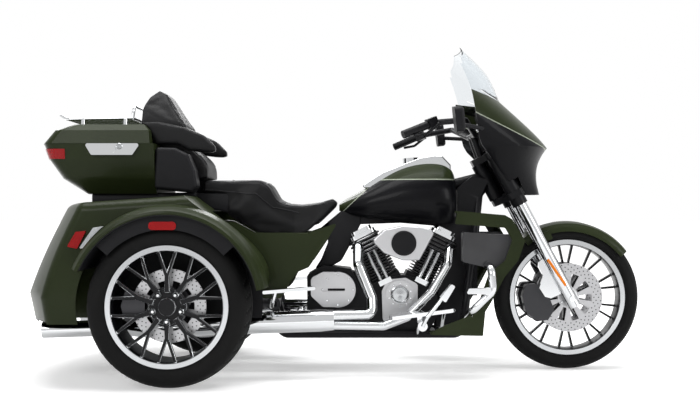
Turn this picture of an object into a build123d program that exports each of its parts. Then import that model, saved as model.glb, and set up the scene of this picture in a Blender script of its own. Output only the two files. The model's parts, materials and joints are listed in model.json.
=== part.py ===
from build123d import *
from math import cos, radians, sin, sqrt, tan
import os

# A three-wheeled touring motorcycle: one steered wheel in front, two wheels behind.
# Millimetres. X points forward, Y to the rider's left, Z up, and the ground is Z = 0.
# The middle of the length and of the width is the origin.

# Overall sizes and wheels
LENGTH = 2670
WHEELBASE = 1670
FRONT_TYRE_RADIUS = 319.3
FRONT_TYRE_WIDTH = 130
FRONT_BEAD_RADIUS = 241.3
FRONT_RIM_WIDTH = 90
REAR_TYRE_RADIUS = 325.4
REAR_TYRE_WIDTH = 215
REAR_BEAD_RADIUS = 228.6
REAR_RIM_WIDTH = 180
REAR_TRACK = 1074
RIM_WALL = 8
RIM_LIP = 13
FRONT_AXLE_X = LENGTH / 2 - FRONT_TYRE_RADIUS
REAR_AXLE_X = FRONT_AXLE_X - WHEELBASE
REAR_WHEEL_Y = REAR_TRACK / 2

# Clearances: between fitted faces, and round what turns
FIT = 0.3
RUNNING_GAP = 5

# Wheel details
SPOKES = 10
FRONT_HUB_RADIUS = 42
FRONT_HUB_HALF = 62
FRONT_SPOKE_FORK_RADIUS = 150
FRONT_SPOKE_HALF_DEPTH = 11
REAR_HUB_RADIUS = 78
REAR_SPOKE_FORK_RADIUS = 130
REAR_SPOKE_OUTER = 88
REAR_SPOKE_DEPTH = 20
LUGS = 5
LUG_CIRCLE_RADIUS = 57
LUG_RADIUS = 12
LUG_HEIGHT = 16
DISC_RADIUS = 150
DISC_THICKNESS = 5
REAR_DISC_RADIUS = 146
REAR_DISC_INSET = 30

# Fork: the legs and the steering axis lean back by the same angle
RAKE = 28.3
FORK_OFFSET = 63
FORK_HALF_WIDTH = 125
SLIDER_RADIUS = 28
SLIDER_LENGTH = 462
SLIDER_FOOT = 38
FORK_TUBE_RADIUS = 24.5
FORK_COVER_RADIUS = 35
LOWER_CLAMP_AT = 500
UPPER_CLAMP_AT = 700
CLAMP_THICKNESS = 28
CLAMP_MARGIN = 38
STEM_RADIUS = 17
HEAD_RADIUS = 32
FRONT_AXLE_RADIUS = 12.5
STEER = radians(RAKE)
UP_LEG = Vector(-sin(STEER), 0, cos(STEER))
AHEAD_OF_LEG = Vector(cos(STEER), 0, sin(STEER))
FRONT_AXLE = Vector(FRONT_AXLE_X, 0, FRONT_TYRE_RADIUS)
REAR_AXLE_Z = REAR_TYRE_RADIUS
STEM_FOOT = FRONT_AXLE - AHEAD_OF_LEG * FORK_OFFSET

# Front fender, from its front tip back over the wheel to behind the fork
FENDER_GAP = 12
FENDER_WALL = 4
FENDER_HALF_WIDTH = 80
FENDER_FRONT_ANGLE = 38
FENDER_REAR_ANGLE = 128

# Frame and engine
FRAME_TUBE = 16
CROSS_TUBE = 13
BACKBONE_RADIUS = 26
CRADLE_HALF_WIDTH = 125
CRADLE_Z = 164
CRANK_X = 290
CRANK_Z = 230
V_HALF_ANGLE = 26
BORE_CORE_RADIUS = 52
FINS = 10
FIN_HALF = 74
FIN_THICKNESS = 5
FIRST_FIN = 196
FIN_PITCH = 13
HEAD_HEIGHT = 72
HEAD_HALF = 96
ROCKER_HEIGHT = 34
CASE_HALF_WIDTH = 92
COVER_DEPTH = 34
MUFFLER_RADIUS = 46
MUFFLER_Y = 300
TIP_RADIUS = 34
HEADER_RADIUS = 22
SHIELD_RADIUS = 27

# Body shells
PANEL = 5
TUB_HALF_WIDTH = 345
ARCH_RADIUS = 360
FLARE_RADIUS = 396
BODY_HALF_WIDTH = 695
WELL_INNER = 395
TRUNK_FLOOR_Z = 420
TRUNK_FRONT_X = -760
TRUNK_PAD_HALF = 320
TRUNK_PAD_RISE = 4
LINER_WALL = 4
AXLE_HOLE_RADIUS = 60


def side_solid(points, low, high, radius=0):
    """A solid whose outline is drawn in X and Z, between two places on Y."""
    face = outline_face(points, radius)
    plane = Plane(origin=(0, high, 0), x_dir=(1, 0, 0), z_dir=(0, -1, 0))
    return extrude(plane * face, amount=high - low)


def plan_solid(points, low, high, radius=0):
    """A solid whose outline is drawn in X and Y, between two heights."""
    face = outline_face(points, radius)
    return extrude(Plane(origin=(0, 0, low)) * face, amount=high - low)


def front_solid(points, low, high, radius=0):
    """A solid whose outline is drawn in Y and Z, between two places on X."""
    face = outline_face(points, radius)
    plane = Plane(origin=(low, 0, 0), x_dir=(0, 1, 0), z_dir=(1, 0, 0))
    return extrude(plane * face, amount=high - low)


def outline_face(points, radius=0):
    """A flat face from corner points, with its corners rounded where a radius is given."""
    if radius:
        return make_face(FilletPolyline(*points, radius=radius, close=True))
    return make_face(Polyline(*points, close=True))


def box(low, high):
    """A box between two corners."""
    size = [high[i] - low[i] for i in range(3)]
    middle = [(high[i] + low[i]) / 2 for i in range(3)]
    return Pos(*middle) * Box(*size)


def bar(start, end, radius):
    """A round bar between two points."""
    start = Vector(start)
    run = Vector(end) - start
    return Solid.make_cylinder(radius, run.length, Plane(origin=start, z_dir=run))


def tube(points, bend, radius):
    """A bent round bar through corner points, each turned by an arc that its two runs have room for."""
    points = [Vector(*p) for p in points]
    bends = []
    for before, corner, after in zip(points, points[1:], points[2:]):
        run_in, run_out = corner - before, after - corner
        half_turn = radians(run_in.get_angle(run_out)) / 2
        room = 0.45 * min(run_in.length, run_out.length) / tan(half_turn)
        bends.append(min(bend, room))
    path = FilletPolyline(*points, radius=bends) if bends else Line(*points)
    return sweep(Plane(origin=path @ 0, z_dir=path % 0) * Circle(radius), path=path)


def mirrored(shape):
    """The same piece on the other side of the middle plane."""
    return mirror(shape, about=Plane.XZ)


def both_sides(shape):
    """A piece and its mirror image, as two solids."""
    return [shape, mirrored(shape)]


def on_leg(along, ahead=0, across=0):
    """A point of the fork, from the axle up along the leg, ahead of it and to the left."""
    return FRONT_AXLE + UP_LEG * along + AHEAD_OF_LEG * ahead + Vector(0, across, 0)


def fork_plane(along, ahead=0, across=0):
    """The plane square to the legs at a point of the fork, with its X ahead and its Y left."""
    return Plane(origin=on_leg(along, ahead, across), x_dir=AHEAD_OF_LEG, z_dir=UP_LEG)


def turned_ring(points, centre, outward=-1):
    """A ring about a wheel's axle. Points are radius and distance outward from the wheel's middle."""
    face = make_face(Polyline(*points, close=True))
    ring = revolve(Plane.XZ * face, axis=Axis.Z)
    return Pos(*centre) * Rot(X=-90 * outward) * ring


def wheel_sector(inner, outer, start, end):
    """A flat sector of a ring in the wheel's plane, between two angles in degrees."""
    a, b, m = radians(start), radians(end), radians((start + end) / 2)
    outer_arc = ThreePointArc(
        (outer * cos(a), outer * sin(a)), (outer * cos(m), outer * sin(m)), (outer * cos(b), outer * sin(b))
    )
    inner_arc = ThreePointArc(
        (inner * cos(b), inner * sin(b)), (inner * cos(m), inner * sin(m)), (inner * cos(a), inner * sin(a))
    )
    return make_face([outer_arc, Line(outer_arc @ 1, inner_arc @ 0), inner_arc, Line(inner_arc @ 1, outer_arc @ 0)])


def write(name, *solids):
    """One file per named piece."""
    flat = []
    for item in solids:
        flat.extend(item if isinstance(item, (list, tuple)) else [item])
    single = [s for shape in flat for s in shape.solids()]
    shape = single[0] if len(single) == 1 else Compound(children=single)
    export_step(shape, f"parts/{name}.step")


# Wheels


def tyre(radius, width, bead, rim_width, centre, outward):
    """A tyre: beads on the rim, bulging side walls and a crowned tread."""
    seat = rim_width / 2
    half = width / 2
    shoulder = radius - 0.045 * radius
    tread = 0.78 * half
    wall = (bead + RIM_LIP + shoulder) / 2 + 6
    right = ThreePointArc((bead + RIM_LIP + 2, seat + 2), (wall, half), (shoulder, tread))
    crown = ThreePointArc((shoulder, tread), (radius, 0), (shoulder, -tread))
    left = ThreePointArc((shoulder, -tread), (wall, -half), (bead + RIM_LIP + 2, -seat - 2))
    foot = Polyline(
        (bead + RIM_LIP + 2, -seat - 2), (bead + RIM_LIP, -seat), (bead, -seat), (bead, seat),
        (bead + RIM_LIP, seat), (bead + RIM_LIP + 2, seat + 2),
    )
    face = make_face([right, crown, left, foot])
    ring = revolve(Plane.XZ * face, axis=Axis.Z)
    return Pos(*centre) * Rot(X=-90 * outward) * ring


def rim_barrel(bead, rim_width):
    """The rim's barrel with a lip at each edge and a drop in the middle, about Z."""
    seat = rim_width / 2
    lip = seat + 6
    inner = bead - RIM_WALL
    points = [
        (inner, -lip), (bead + RIM_LIP, -lip), (bead + RIM_LIP, -seat), (bead, -seat), (bead, seat),
        (bead + RIM_LIP, seat), (bead + RIM_LIP, lip), (inner, lip), (inner - 6, seat - 14),
        (inner - 6, -seat + 14),
    ]
    return revolve(Plane.XZ * make_face(Polyline(*points, close=True)), axis=Axis.Z)


def spoke(start, end, start_half, end_half):
    """A flat spoke outline between two points given as radius and angle."""
    p = Vector(start[0] * cos(radians(start[1])), start[0] * sin(radians(start[1])))
    q = Vector(end[0] * cos(radians(end[1])), end[0] * sin(radians(end[1])))
    side = Vector(0, 0, 1).cross(q - p).normalized()
    corners = [p + side * start_half, q + side * end_half, q - side * end_half, p - side * start_half]
    return make_face(Polyline(*[(c.X, c.Y) for c in corners], close=True))


def front_rim():
    """Cast front rim: ten stems, each forked into a pair of thin spokes."""
    faces = []
    for i in range(SPOKES):
        middle = 90 + 360 / SPOKES * i
        fork = FRONT_SPOKE_FORK_RADIUS
        faces.append(spoke((FRONT_HUB_RADIUS - 6, middle), (fork - 4, middle), 9, 15))
        for side in (-1, 1):
            start = (fork - 8, middle + side * 4.2)
            end = (FRONT_BEAD_RADIUS - RIM_WALL + 2, middle + side * 7.5)
            faces.append(spoke(start, end, 4, 5))
    half = FRONT_SPOKE_HALF_DEPTH
    spokes = [extrude(Plane(origin=(0, 0, -half)) * f, amount=2 * half) for f in faces]
    hub = Cylinder(FRONT_HUB_RADIUS, 2 * FRONT_HUB_HALF)
    body = rim_barrel(FRONT_BEAD_RADIUS, FRONT_RIM_WIDTH).fuse(hub, *spokes)
    body -= Cylinder(FRONT_AXLE_RADIUS + FIT, 4 * FRONT_HUB_HALF)
    return Pos(*FRONT_AXLE) * Rot(X=90) * body


def brake_disc(radius, thickness, hub_radius, middle):
    """A brake disc on a carrier with ten openings, about Z at a height."""
    disc = Cylinder(radius, thickness) - Cylinder(hub_radius, 3 * thickness)
    hole = wheel_sector(hub_radius + 26, radius - 46, -9, 9)
    for i in range(10):
        disc -= Rot(Z=36 * i) * extrude(Plane(origin=(0, 0, -thickness)) * hole, amount=3 * thickness)
    return Pos(0, 0, middle) * disc


def front_discs():
    """A brake disc against each face of the front hub."""
    middle = FRONT_HUB_HALF + DISC_THICKNESS / 2
    discs = [brake_disc(DISC_RADIUS, DISC_THICKNESS, FRONT_AXLE_RADIUS + 8, side * middle) for side in (-1, 1)]
    return [Pos(*FRONT_AXLE) * Rot(X=90) * d for d in discs]


def rear_rim():
    """Cast rear rim of the right wheel: ten Y spokes, hub face with lugs, about Z outward."""
    faces = []
    for i in range(SPOKES):
        middle = 18 + 360 / SPOKES * i
        faces.append(spoke((REAR_HUB_RADIUS - 22, middle), (REAR_SPOKE_FORK_RADIUS, middle), 11, 8))
        for side in (-1, 1):
            start = (REAR_SPOKE_FORK_RADIUS - 4, middle + side * 1.5)
            end = (REAR_BEAD_RADIUS - RIM_WALL - 2, middle + side * 9)
            faces.append(spoke(start, end, 7, 6))
    base = REAR_SPOKE_OUTER - REAR_SPOKE_DEPTH
    spokes = [extrude(Plane(origin=(0, 0, base)) * f, amount=REAR_SPOKE_DEPTH) for f in faces]
    hub_low = REAR_DISC_INSET
    hub_face = REAR_SPOKE_OUTER - 4
    hub = Pos(0, 0, (hub_low + hub_face) / 2) * Cylinder(REAR_HUB_RADIUS, hub_face - hub_low)
    hub -= Pos(0, 0, hub_face) * Cylinder(REAR_HUB_RADIUS - 8, 16)
    cap = Pos(0, 0, hub_face - 4) * Cylinder(34, 24)
    body = rim_barrel(REAR_BEAD_RADIUS, REAR_RIM_WIDTH).fuse(hub, cap, *spokes)
    for i in range(LUGS):
        at = Rot(Z=54 + 360 / LUGS * i) * Pos(LUG_CIRCLE_RADIUS, 0, hub_face - 8 + LUG_HEIGHT / 2)
        body += at * extrude(RegularPolygon(LUG_RADIUS, 6), amount=LUG_HEIGHT / 2, both=True)
    body -= Pos(0, 0, hub_low) * Cylinder(AXLE_STUB_RADIUS + FIT, 2 * AXLE_STUB_DEPTH)
    return body


AXLE_STUB_RADIUS = 24
AXLE_STUB_DEPTH = 36


def rear_disc():
    """The rear brake disc against the inner face of the hub, about Z outward."""
    middle = REAR_DISC_INSET - DISC_THICKNESS / 2
    return brake_disc(REAR_DISC_RADIUS, DISC_THICKNESS, AXLE_STUB_RADIUS + 8, middle)


RIGHT_WHEEL = Vector(REAR_AXLE_X, -REAR_WHEEL_Y, REAR_AXLE_Z)


def wheels():
    """The three wheels: a tyre, a rim and the brake discs of each."""
    write("front_tyre", tyre(FRONT_TYRE_RADIUS, FRONT_TYRE_WIDTH, FRONT_BEAD_RADIUS, FRONT_RIM_WIDTH, FRONT_AXLE, -1))
    write("front_rim", front_rim())
    write("front_brake_discs", front_discs())
    right_tyre = tyre(REAR_TYRE_RADIUS, REAR_TYRE_WIDTH, REAR_BEAD_RADIUS, REAR_RIM_WIDTH, RIGHT_WHEEL, -1)
    right_rim = Pos(*RIGHT_WHEEL) * Rot(X=90) * rear_rim()
    right_disc = Pos(*RIGHT_WHEEL) * Rot(X=90) * rear_disc()
    for name, piece in (("tyre", right_tyre), ("rim", right_rim), ("brake_disc", right_disc)):
        write(f"rear_{name}_right", piece)
        write(f"rear_{name}_left", mirrored(piece))


# Steering


def clamp_plate(along):
    """A triple clamp: a plate square to the legs, from leg to leg and back round the stem."""
    reach = FORK_HALF_WIDTH + CLAMP_MARGIN
    points = [
        (CLAMP_MARGIN, -reach), (CLAMP_MARGIN, reach), (-CLAMP_MARGIN + 6, reach),
        (-FORK_OFFSET - STEM_RADIUS - 8, HEAD_RADIUS), (-FORK_OFFSET - STEM_RADIUS - 8, -HEAD_RADIUS),
        (-CLAMP_MARGIN + 6, -reach),
    ]
    return extrude(fork_plane(along) * outline_face(points, 18), amount=CLAMP_THICKNESS)


def fork():
    """Clamps, steering stem and the inner fork tubes, held together as on the vehicle."""
    body = clamp_plate(LOWER_CLAMP_AT).fuse(
        clamp_plate(UPPER_CLAMP_AT),
        bar(on_leg(LOWER_CLAMP_AT, -FORK_OFFSET), on_leg(UPPER_CLAMP_AT, -FORK_OFFSET), STEM_RADIUS),
        *[
            bar(on_leg(SLIDER_LENGTH, 0, side), on_leg(UPPER_CLAMP_AT + CLAMP_THICKNESS + 10, 0, side), FORK_TUBE_RADIUS)
            for side in (-FORK_HALF_WIDTH, FORK_HALF_WIDTH)
        ],
    )
    return body


def slider(side):
    """A lower fork leg with its axle foot and the lugs that the caliper bolts to."""
    y = side * FORK_HALF_WIDTH
    leg = bar(on_leg(-SLIDER_FOOT, 0, y), on_leg(SLIDER_LENGTH, 0, y), SLIDER_RADIUS)
    lug_low = min(side * (FORK_HALF_WIDTH - 6), side * CALIPER_OUTER)
    lug_high = max(side * (FORK_HALF_WIDTH - 6), side * CALIPER_OUTER)
    plate = Plane(origin=on_leg(0, 0, lug_high), x_dir=AHEAD_OF_LEG, z_dir=(0, -1, 0))
    points = [(-10, 36), (-74, 40), (-94, 58), (-98, 104), (-74, 126), (-58, 140), (-58, 186), (-46, 204), (-10, 214)]
    lug = extrude(plane_outline(plate, points, 6), amount=lug_high - lug_low)
    foot = extrude(plane_outline(plate, [(-26, -34), (30, -34), (34, 10), (26, 60), (-24, 60)], 10), amount=lug_high - lug_low)
    body = leg.fuse(lug, foot)
    return body - bar((FRONT_AXLE_X, side * 300, FRONT_TYRE_RADIUS), (FRONT_AXLE_X, 0, FRONT_TYRE_RADIUS), FRONT_AXLE_RADIUS)


def plane_outline(plane, points, radius):
    """A rounded outline laid on a plane."""
    return plane * outline_face(points, radius)


CALIPER_INNER = 44
CALIPER_OUTER = 98


def caliper(side):
    """A front caliper behind the leg, astride the disc."""
    low = min(side * CALIPER_INNER, side * CALIPER_OUTER)
    high = max(side * CALIPER_INNER, side * CALIPER_OUTER)
    plane = Plane(origin=on_leg(0, 0, high), x_dir=AHEAD_OF_LEG, z_dir=(0, -1, 0))
    points = [(-82, -14), (-128, -40), (-178, -22), (-196, 40), (-178, 104), (-140, 142), (-96, 122), (-76, 60)]
    block = extrude(plane_outline(plane, points, 14), amount=high - low)
    slot_middle = side * (FRONT_HUB_HALF + DISC_THICKNESS / 2)
    slot = Cylinder(DISC_RADIUS + RUNNING_GAP, DISC_THICKNESS + 2 * RUNNING_GAP)
    return block - Pos(FRONT_AXLE_X, slot_middle, FRONT_TYRE_RADIUS) * Rot(X=90) * slot


def fork_covers():
    """Sleeves round the fork tubes, below and between the clamps."""
    sleeves = []
    spans = ((SLIDER_LENGTH + 1, LOWER_CLAMP_AT), (LOWER_CLAMP_AT + CLAMP_THICKNESS, UPPER_CLAMP_AT))
    for side in (-FORK_HALF_WIDTH, FORK_HALF_WIDTH):
        for low, high in spans:
            outer = bar(on_leg(low, 0, side), on_leg(high, 0, side), FORK_COVER_RADIUS)
            sleeves.append(outer - bar(on_leg(low - 9, 0, side), on_leg(high + 9, 0, side), FORK_TUBE_RADIUS))
    return sleeves


def front_fender():
    """A fender over the front wheel: crowned skin with side skirts, and stays to the sliders."""
    inner = FRONT_TYRE_RADIUS + FENDER_GAP
    outer = inner + FENDER_WALL
    half = FENDER_HALF_WIDTH
    drop = 34
    points = [
        (outer, 0), (outer - 2, 0.45 * half), (outer - 10, 0.82 * half), (outer - drop, half),
        (outer - drop - 12, half), (outer - drop - 12, half - FENDER_WALL), (outer - drop, half - FENDER_WALL),
        (inner - 9, 0.8 * half - 3), (inner - 2, 0.43 * half - 2), (inner, 0),
    ]
    section = outline_face(points)
    start = Rot(Y=-FENDER_FRONT_ANGLE) * (Plane.XY * section)
    shell = revolve(start, axis=Axis.Y, revolution_arc=-(FENDER_REAR_ANGLE - FENDER_FRONT_ANGLE))
    shell = shell.fuse(mirror(shell, about=Plane.XZ))
    shell = Pos(*FRONT_AXLE) * shell
    stays = []
    for side in (-1, 1):
        low = side * (half - FENDER_WALL)
        high = side * (FORK_HALF_WIDTH - SLIDER_RADIUS + 1)
        plane = Plane(origin=on_leg(0, 0, max(low, high)), x_dir=AHEAD_OF_LEG, z_dir=(0, -1, 0))
        points = [(-22, 270), (60, 262), (60, 300), (-22, 316)]
        stays.append(extrude(plane_outline(plane, points, 6), amount=abs(high - low)))
    body = shell.fuse(*stays)
    for side in (-1, 1):
        body -= bar(on_leg(0, 0, side * FORK_HALF_WIDTH), on_leg(600, 0, side * FORK_HALF_WIDTH), SLIDER_RADIUS)
    return body


def front_axle():
    """The front axle, through both fork feet and the hub."""
    reach = FORK_HALF_WIDTH + SLIDER_RADIUS + 8
    axle = bar((FRONT_AXLE_X, -reach, FRONT_TYRE_RADIUS), (FRONT_AXLE_X, reach, FRONT_TYRE_RADIUS), FRONT_AXLE_RADIUS)
    spacers = []
    for side in (-1, 1):
        low = FRONT_HUB_HALF + DISC_THICKNESS + FIT
        high = FORK_HALF_WIDTH - SLIDER_RADIUS
        spacers.append(bar((FRONT_AXLE_X, side * low, FRONT_TYRE_RADIUS), (FRONT_AXLE_X, side * high, FRONT_TYRE_RADIUS), 19))
    return axle.fuse(*spacers)


# Fairing: height, nose, half-width and rear edge of each level, below and above its ridge
LOWER_FAIRING_LEVELS = (
    (770, 898, 116, 800),
    (829, 886, 168, 745),
    (892, 888, 228, 690),
    (974, 929, 304, 620),
)
UPPER_FAIRING_LEVELS = (
    (974, 929, 304, 620),
    (1050, 858, 352, 590),
    (1140, 757, 372, 568),
    (1212, 676, 352, 548),
)
FAIRING_WALL = 6
HEADLAMP_Z = 868
HEADLAMP_RADIUS = 76

# Windscreen: height, nose, half-width and rear edge of each level
SCREEN_THICKNESS = 4
SCREEN_TOP_Z = 1406
SCREEN_LEVELS = (
    (1110, 781, 330, 596),
    (1160, 728, 316, 588),
    (1224, 700, 292, 571),
    (1306, 655, 262, 541),
    (1410, 547, 222, 500),
)


def hood_level(nose, half, rear, z, inset=0, back=10):
    """A level of the fairing: one arc round the nose, drawn in by an inset, with straight sides behind."""
    depth = nose - rear
    bow = (half**2 + depth**2) / (2 * depth)
    reach = sqrt((bow - inset) ** 2 - (rear - nose + bow) ** 2)
    front = ThreePointArc((rear, -reach), (nose - inset, 0), (rear, reach))
    rest = Polyline((rear, reach), (rear - back, reach), (rear - back, -reach), (rear, -reach))
    return Plane(origin=(0, 0, z)) * make_face([front, rest])


def hood(levels, inset=0, back=10):
    """A bowed volume through its levels, drawn in by an inset and run out behind."""
    return loft([hood_level(nose, half, rear, z, inset, back) for z, nose, half, rear in levels])


def fairing_volume(inset=0, back=10):
    """The volume of the fairing, in two bowed parts that meet at the ridge."""
    return hood(LOWER_FAIRING_LEVELS, inset, back).fuse(hood(UPPER_FAIRING_LEVELS, inset, back))


def fork_room():
    """The space that the clamps and the covered tubes take behind the fairing."""
    reach = FORK_HALF_WIDTH + CLAMP_MARGIN + RUNNING_GAP
    front = CLAMP_MARGIN + RUNNING_GAP
    back = FORK_OFFSET + STEM_RADIUS + 8 + RUNNING_GAP
    top = UPPER_CLAMP_AT + CLAMP_THICKNESS + RUNNING_GAP
    section = fork_plane(top, (front - back) / 2) * Rectangle(front + back, 2 * reach)
    return extrude(section, amount=SLIDER_LENGTH - top)


def fairing_solids():
    """Outer fairing, inner fairing with its dials, windscreen and headlamp."""
    outer = fairing_volume()
    hollow = fairing_volume(FAIRING_WALL, 90)
    top_cut = side_solid([(400, 1228), (553, 1206), (735, 1162), (960, 1108), (960, 1300), (400, 1300)], -500, 500)
    lamp_axis = [(980, 0, HEADLAMP_Z), (700, 0, HEADLAMP_Z)]
    shell = outer - hollow - top_cut - bar(*lamp_axis, HEADLAMP_RADIUS)
    rear_trim = [(380, 1300), (548, 1240), (560, 1205), (575, 1110), (600, 980), (772, 760), (380, 700)]
    shell = largest(shell - side_solid(rear_trim, -500, 500) - fork_room())
    lamp_nose = fairing_volume(1) & bar((960, 0, HEADLAMP_Z), (832, 0, HEADLAMP_Z), HEADLAMP_RADIUS - FIT)
    inside = fairing_volume(FAIRING_WALL, 90) - top_cut
    dash_outline = [(640, 1160), (662, 1172), (728, 1140), (775, 955), (748, 905), (700, 920)]
    dash = inside & side_solid(dash_outline, -500, 500, 8)
    reach = FORK_HALF_WIDTH + CLAMP_MARGIN + RUNNING_GAP
    below = Rectangle(400, 2 * reach)
    dash -= extrude(fork_plane(UPPER_CLAMP_AT + CLAMP_THICKNESS) * below, amount=-400)
    dash -= fork_tube_stubs()
    screen = hood(SCREEN_LEVELS) - hood(SCREEN_LEVELS, SCREEN_THICKNESS, 60)
    corners = [
        (-325, 1160), (-296, 1232), (-236, 1352), (-130, SCREEN_TOP_Z), (130, SCREEN_TOP_Z), (236, 1352), (296, 1232),
        (325, 1160), (200, 1120), (-200, 1120),
    ]
    screen = screen & front_solid(corners, 300, 900, 28)
    screen -= fairing_volume() - fairing_volume(FAIRING_WALL + FIT, 90)
    screen = largest(screen)
    dash -= screen
    dash = largest(dash)
    for y, z, radius in DIALS:
        face_x = 640 + (1160 - z) * 0.25
        dash += bar((face_x + 30, y, z - 8), (face_x - 12, y, z), radius) - screen
    return shell, dash, screen, lamp_nose


# Dials on the inner fairing: place across, height and radius
DIALS = ((72, 1098, 44), (-72, 1098, 44), (158, 1092, 27), (-158, 1092, 27))


def fork_tube_stubs():
    """The ends of the fork tubes above the upper clamp."""
    return [
        bar(on_leg(UPPER_CLAMP_AT, 0, side), on_leg(UPPER_CLAMP_AT + CLAMP_THICKNESS + 10, 0, side), FORK_TUBE_RADIUS)
        for side in (-FORK_HALF_WIDTH, FORK_HALF_WIDTH)
    ]


def largest(shape):
    """The largest solid of a shape."""
    return max(shape.solids(), key=lambda s: s.volume)


GRIP_RADIUS = 17
BAR_RADIUS = 12.7
GRIP_END = Vector(272, 435, 1008)
GRIP_START = Vector(396, 390, 1060)
BAR_CENTRE_X = 600
BAR_CENTRE_Z = 1030


def handlebar():
    """Handlebar on two risers, with grips, switch boxes and levers."""
    points = [
        tuple(GRIP_END), tuple(GRIP_START), (540, 290, BAR_CENTRE_Z + 50), (BAR_CENTRE_X, 110, BAR_CENTRE_Z),
        (BAR_CENTRE_X, 0, BAR_CENTRE_Z),
    ]
    left = tube(points, 30, BAR_RADIUS)
    grip_run = (GRIP_START - GRIP_END).normalized()
    grip = bar(GRIP_END, GRIP_END + grip_run * 118, GRIP_RADIUS)
    switch = Plane(origin=GRIP_END + grip_run * 140, z_dir=grip_run, x_dir=(0, 0, 1)) * Box(44, 40, 40)
    lever = tube(
        [tuple(GRIP_END + Vector(48, -2, -4)), tuple(GRIP_END + Vector(96, -24, 4)), tuple(GRIP_END + grip_run * 140 + Vector(34, 14, 0)), tuple(GRIP_END + grip_run * 140)],
        14, 6,
    )
    left = left.fuse(grip, switch, lever)
    riser_foot = on_leg(UPPER_CLAMP_AT + CLAMP_THICKNESS, -FORK_OFFSET + 20, 45)
    riser_top = Vector(BAR_CENTRE_X, 45, BAR_CENTRE_Z)
    riser = bar(riser_foot, riser_top, 15)
    left = left.fuse(riser) - clamp_plate(UPPER_CLAMP_AT)
    return left.fuse(mirrored(left))


def mirrors(fairing):
    """A mirror on each side, on an arm from the fairing's wing."""
    face = outline_face([(-56, -58), (50, -50), (58, 48), (-50, 58)], 22)
    plane = Plane(origin=(478, 470, 1066), x_dir=(0, 1, 0), z_dir=(1, 0, 0.12))
    head = extrude(plane * face, amount=38)
    head = fillet(head.faces().sort_by(Axis.X)[-1].edges(), 14)
    arm = bar((606, 346, 1040), (500, 440, 1052), 9)
    return both_sides(largest(head.fuse(arm) - fairing))


def steering():
    """Everything that turns with the handlebar."""
    shell, dash, screen, lamp = fairing_solids()
    write("fork", fork())
    write("fork_sliders", [slider(side) for side in (-1, 1)])
    write("fork_covers", fork_covers())
    write("front_axle", front_axle())
    write("front_calipers", [caliper(side) for side in (-1, 1)])
    write("front_fender", front_fender())
    write("outer_fairing", largest(shell))
    write("inner_fairing", largest(dash))
    write("windscreen", largest(screen))
    write("headlamp", lamp)
    write("handlebar", handlebar())
    write("mirrors", mirrors(shell))


# Frame

SEAT_BASE_Z = 600
RAIL_Y = 160
RAIL_Z = 640
PIVOT_X = -271
PIVOT_Z = 300
BACKBONE = [(645, 0, 846), (60, 0, 700), (-110, 0, 560), (-440, 0, 560)]


def frame():
    """Steering head, backbone, cradle tubes, rear rails and the seat support."""
    head_low = LOWER_CLAMP_AT + CLAMP_THICKNESS + FIT
    head_high = UPPER_CLAMP_AT - FIT
    head = bar(on_leg(head_low, -FORK_OFFSET), on_leg(head_high, -FORK_OFFSET), HEAD_RADIUS)
    backbone = tube(BACKBONE, 60, BACKBONE_RADIUS)
    side = CRADLE_HALF_WIDTH
    cradle = [
        (672, 8, 820), (628, 40, 772), (606, 84, 600), (560, side, 300), (540, side, CRADLE_Z), (-240, side, CRADLE_Z),
        (-330, 110, 560), (-480, RAIL_Y, RAIL_Z), (TRUNK_FRONT_X, RAIL_Y, RAIL_Z),
    ]
    left = tube(cradle, 40, FRAME_TUBE)
    link = bar((-330, 110, 560), (-330, 0, 560), FRAME_TUBE)
    left = left.fuse(link)
    seat_rest = box((-330, -100, 560), (-300, 100, SEAT_BASE_Z))
    front_cross = bar((540, -side, CRADLE_Z + 10), (540, side, CRADLE_Z + 10), CROSS_TUBE)
    rear_cross = bar((-200, -side, CRADLE_Z), (-200, side, CRADLE_Z), CROSS_TUBE)
    mounts = [box((x - 16, -side, CRADLE_Z - 6), (x + 16, side, CRADLE_Z + 6)) for x in (80, 420)]
    pivot = bar((PIVOT_X, -side - 50, PIVOT_Z), (PIVOT_X, side + 50, PIVOT_Z), 16)
    neck = side_solid([(530, 690), (530, 800), (596, 852), (668, 836), (650, 800), (600, 672)], -58, 58, 10)
    body = head.fuse(backbone, left, mirrored(left), seat_rest, front_cross, rear_cross, pivot, neck, *mounts)
    return body - bar(on_leg(0, -FORK_OFFSET), on_leg(900, -FORK_OFFSET), STEM_RADIUS + FIT)


# Engine

CASE_BOTTOM_Z = CRADLE_Z + 6
CAM_X, CAM_Z, CAM_RADIUS = 274, 336, 62
GEAR_X, GEAR_Z, GEAR_RADIUS = 5, 357, 77


def crankcase():
    """Crankcase and gearbox as one block, with decks for the two cylinders."""
    points = [
        (-130, 215), (-90, CASE_BOTTOM_Z), (400, CASE_BOTTOM_Z), (440, 240), (440, 330), (395, 395),
        (290, 420), (190, 400), (120, 440), (-60, 460), (-130, 420),
    ]
    block = side_solid(points, -CASE_HALF_WIDTH, CASE_HALF_WIDTH, 18)
    for lean in (-1, 1):
        deck = cylinder_plane(lean, 120) * Rectangle(2 * FIN_HALF, 2 * FIN_HALF)
        block += extrude(deck, amount=FIRST_FIN - 120)
    for lean in (-1, 1):
        clear = cylinder_plane(lean, FIRST_FIN) * Rectangle(3 * FIN_HALF, 3 * FIN_HALF)
        block -= extrude(clear, amount=2 * FIN_HALF)
    return largest(block)


def cylinder_plane(lean, along):
    """The plane square to a cylinder, leaning back for -1 and forward for 1."""
    angle = lean * radians(V_HALF_ANGLE)
    axis = Vector(sin(angle), 0, cos(angle))
    return Plane(origin=Vector(CRANK_X, 0, CRANK_Z) + axis * along, x_dir=(0, 1, 0), z_dir=axis)


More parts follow.
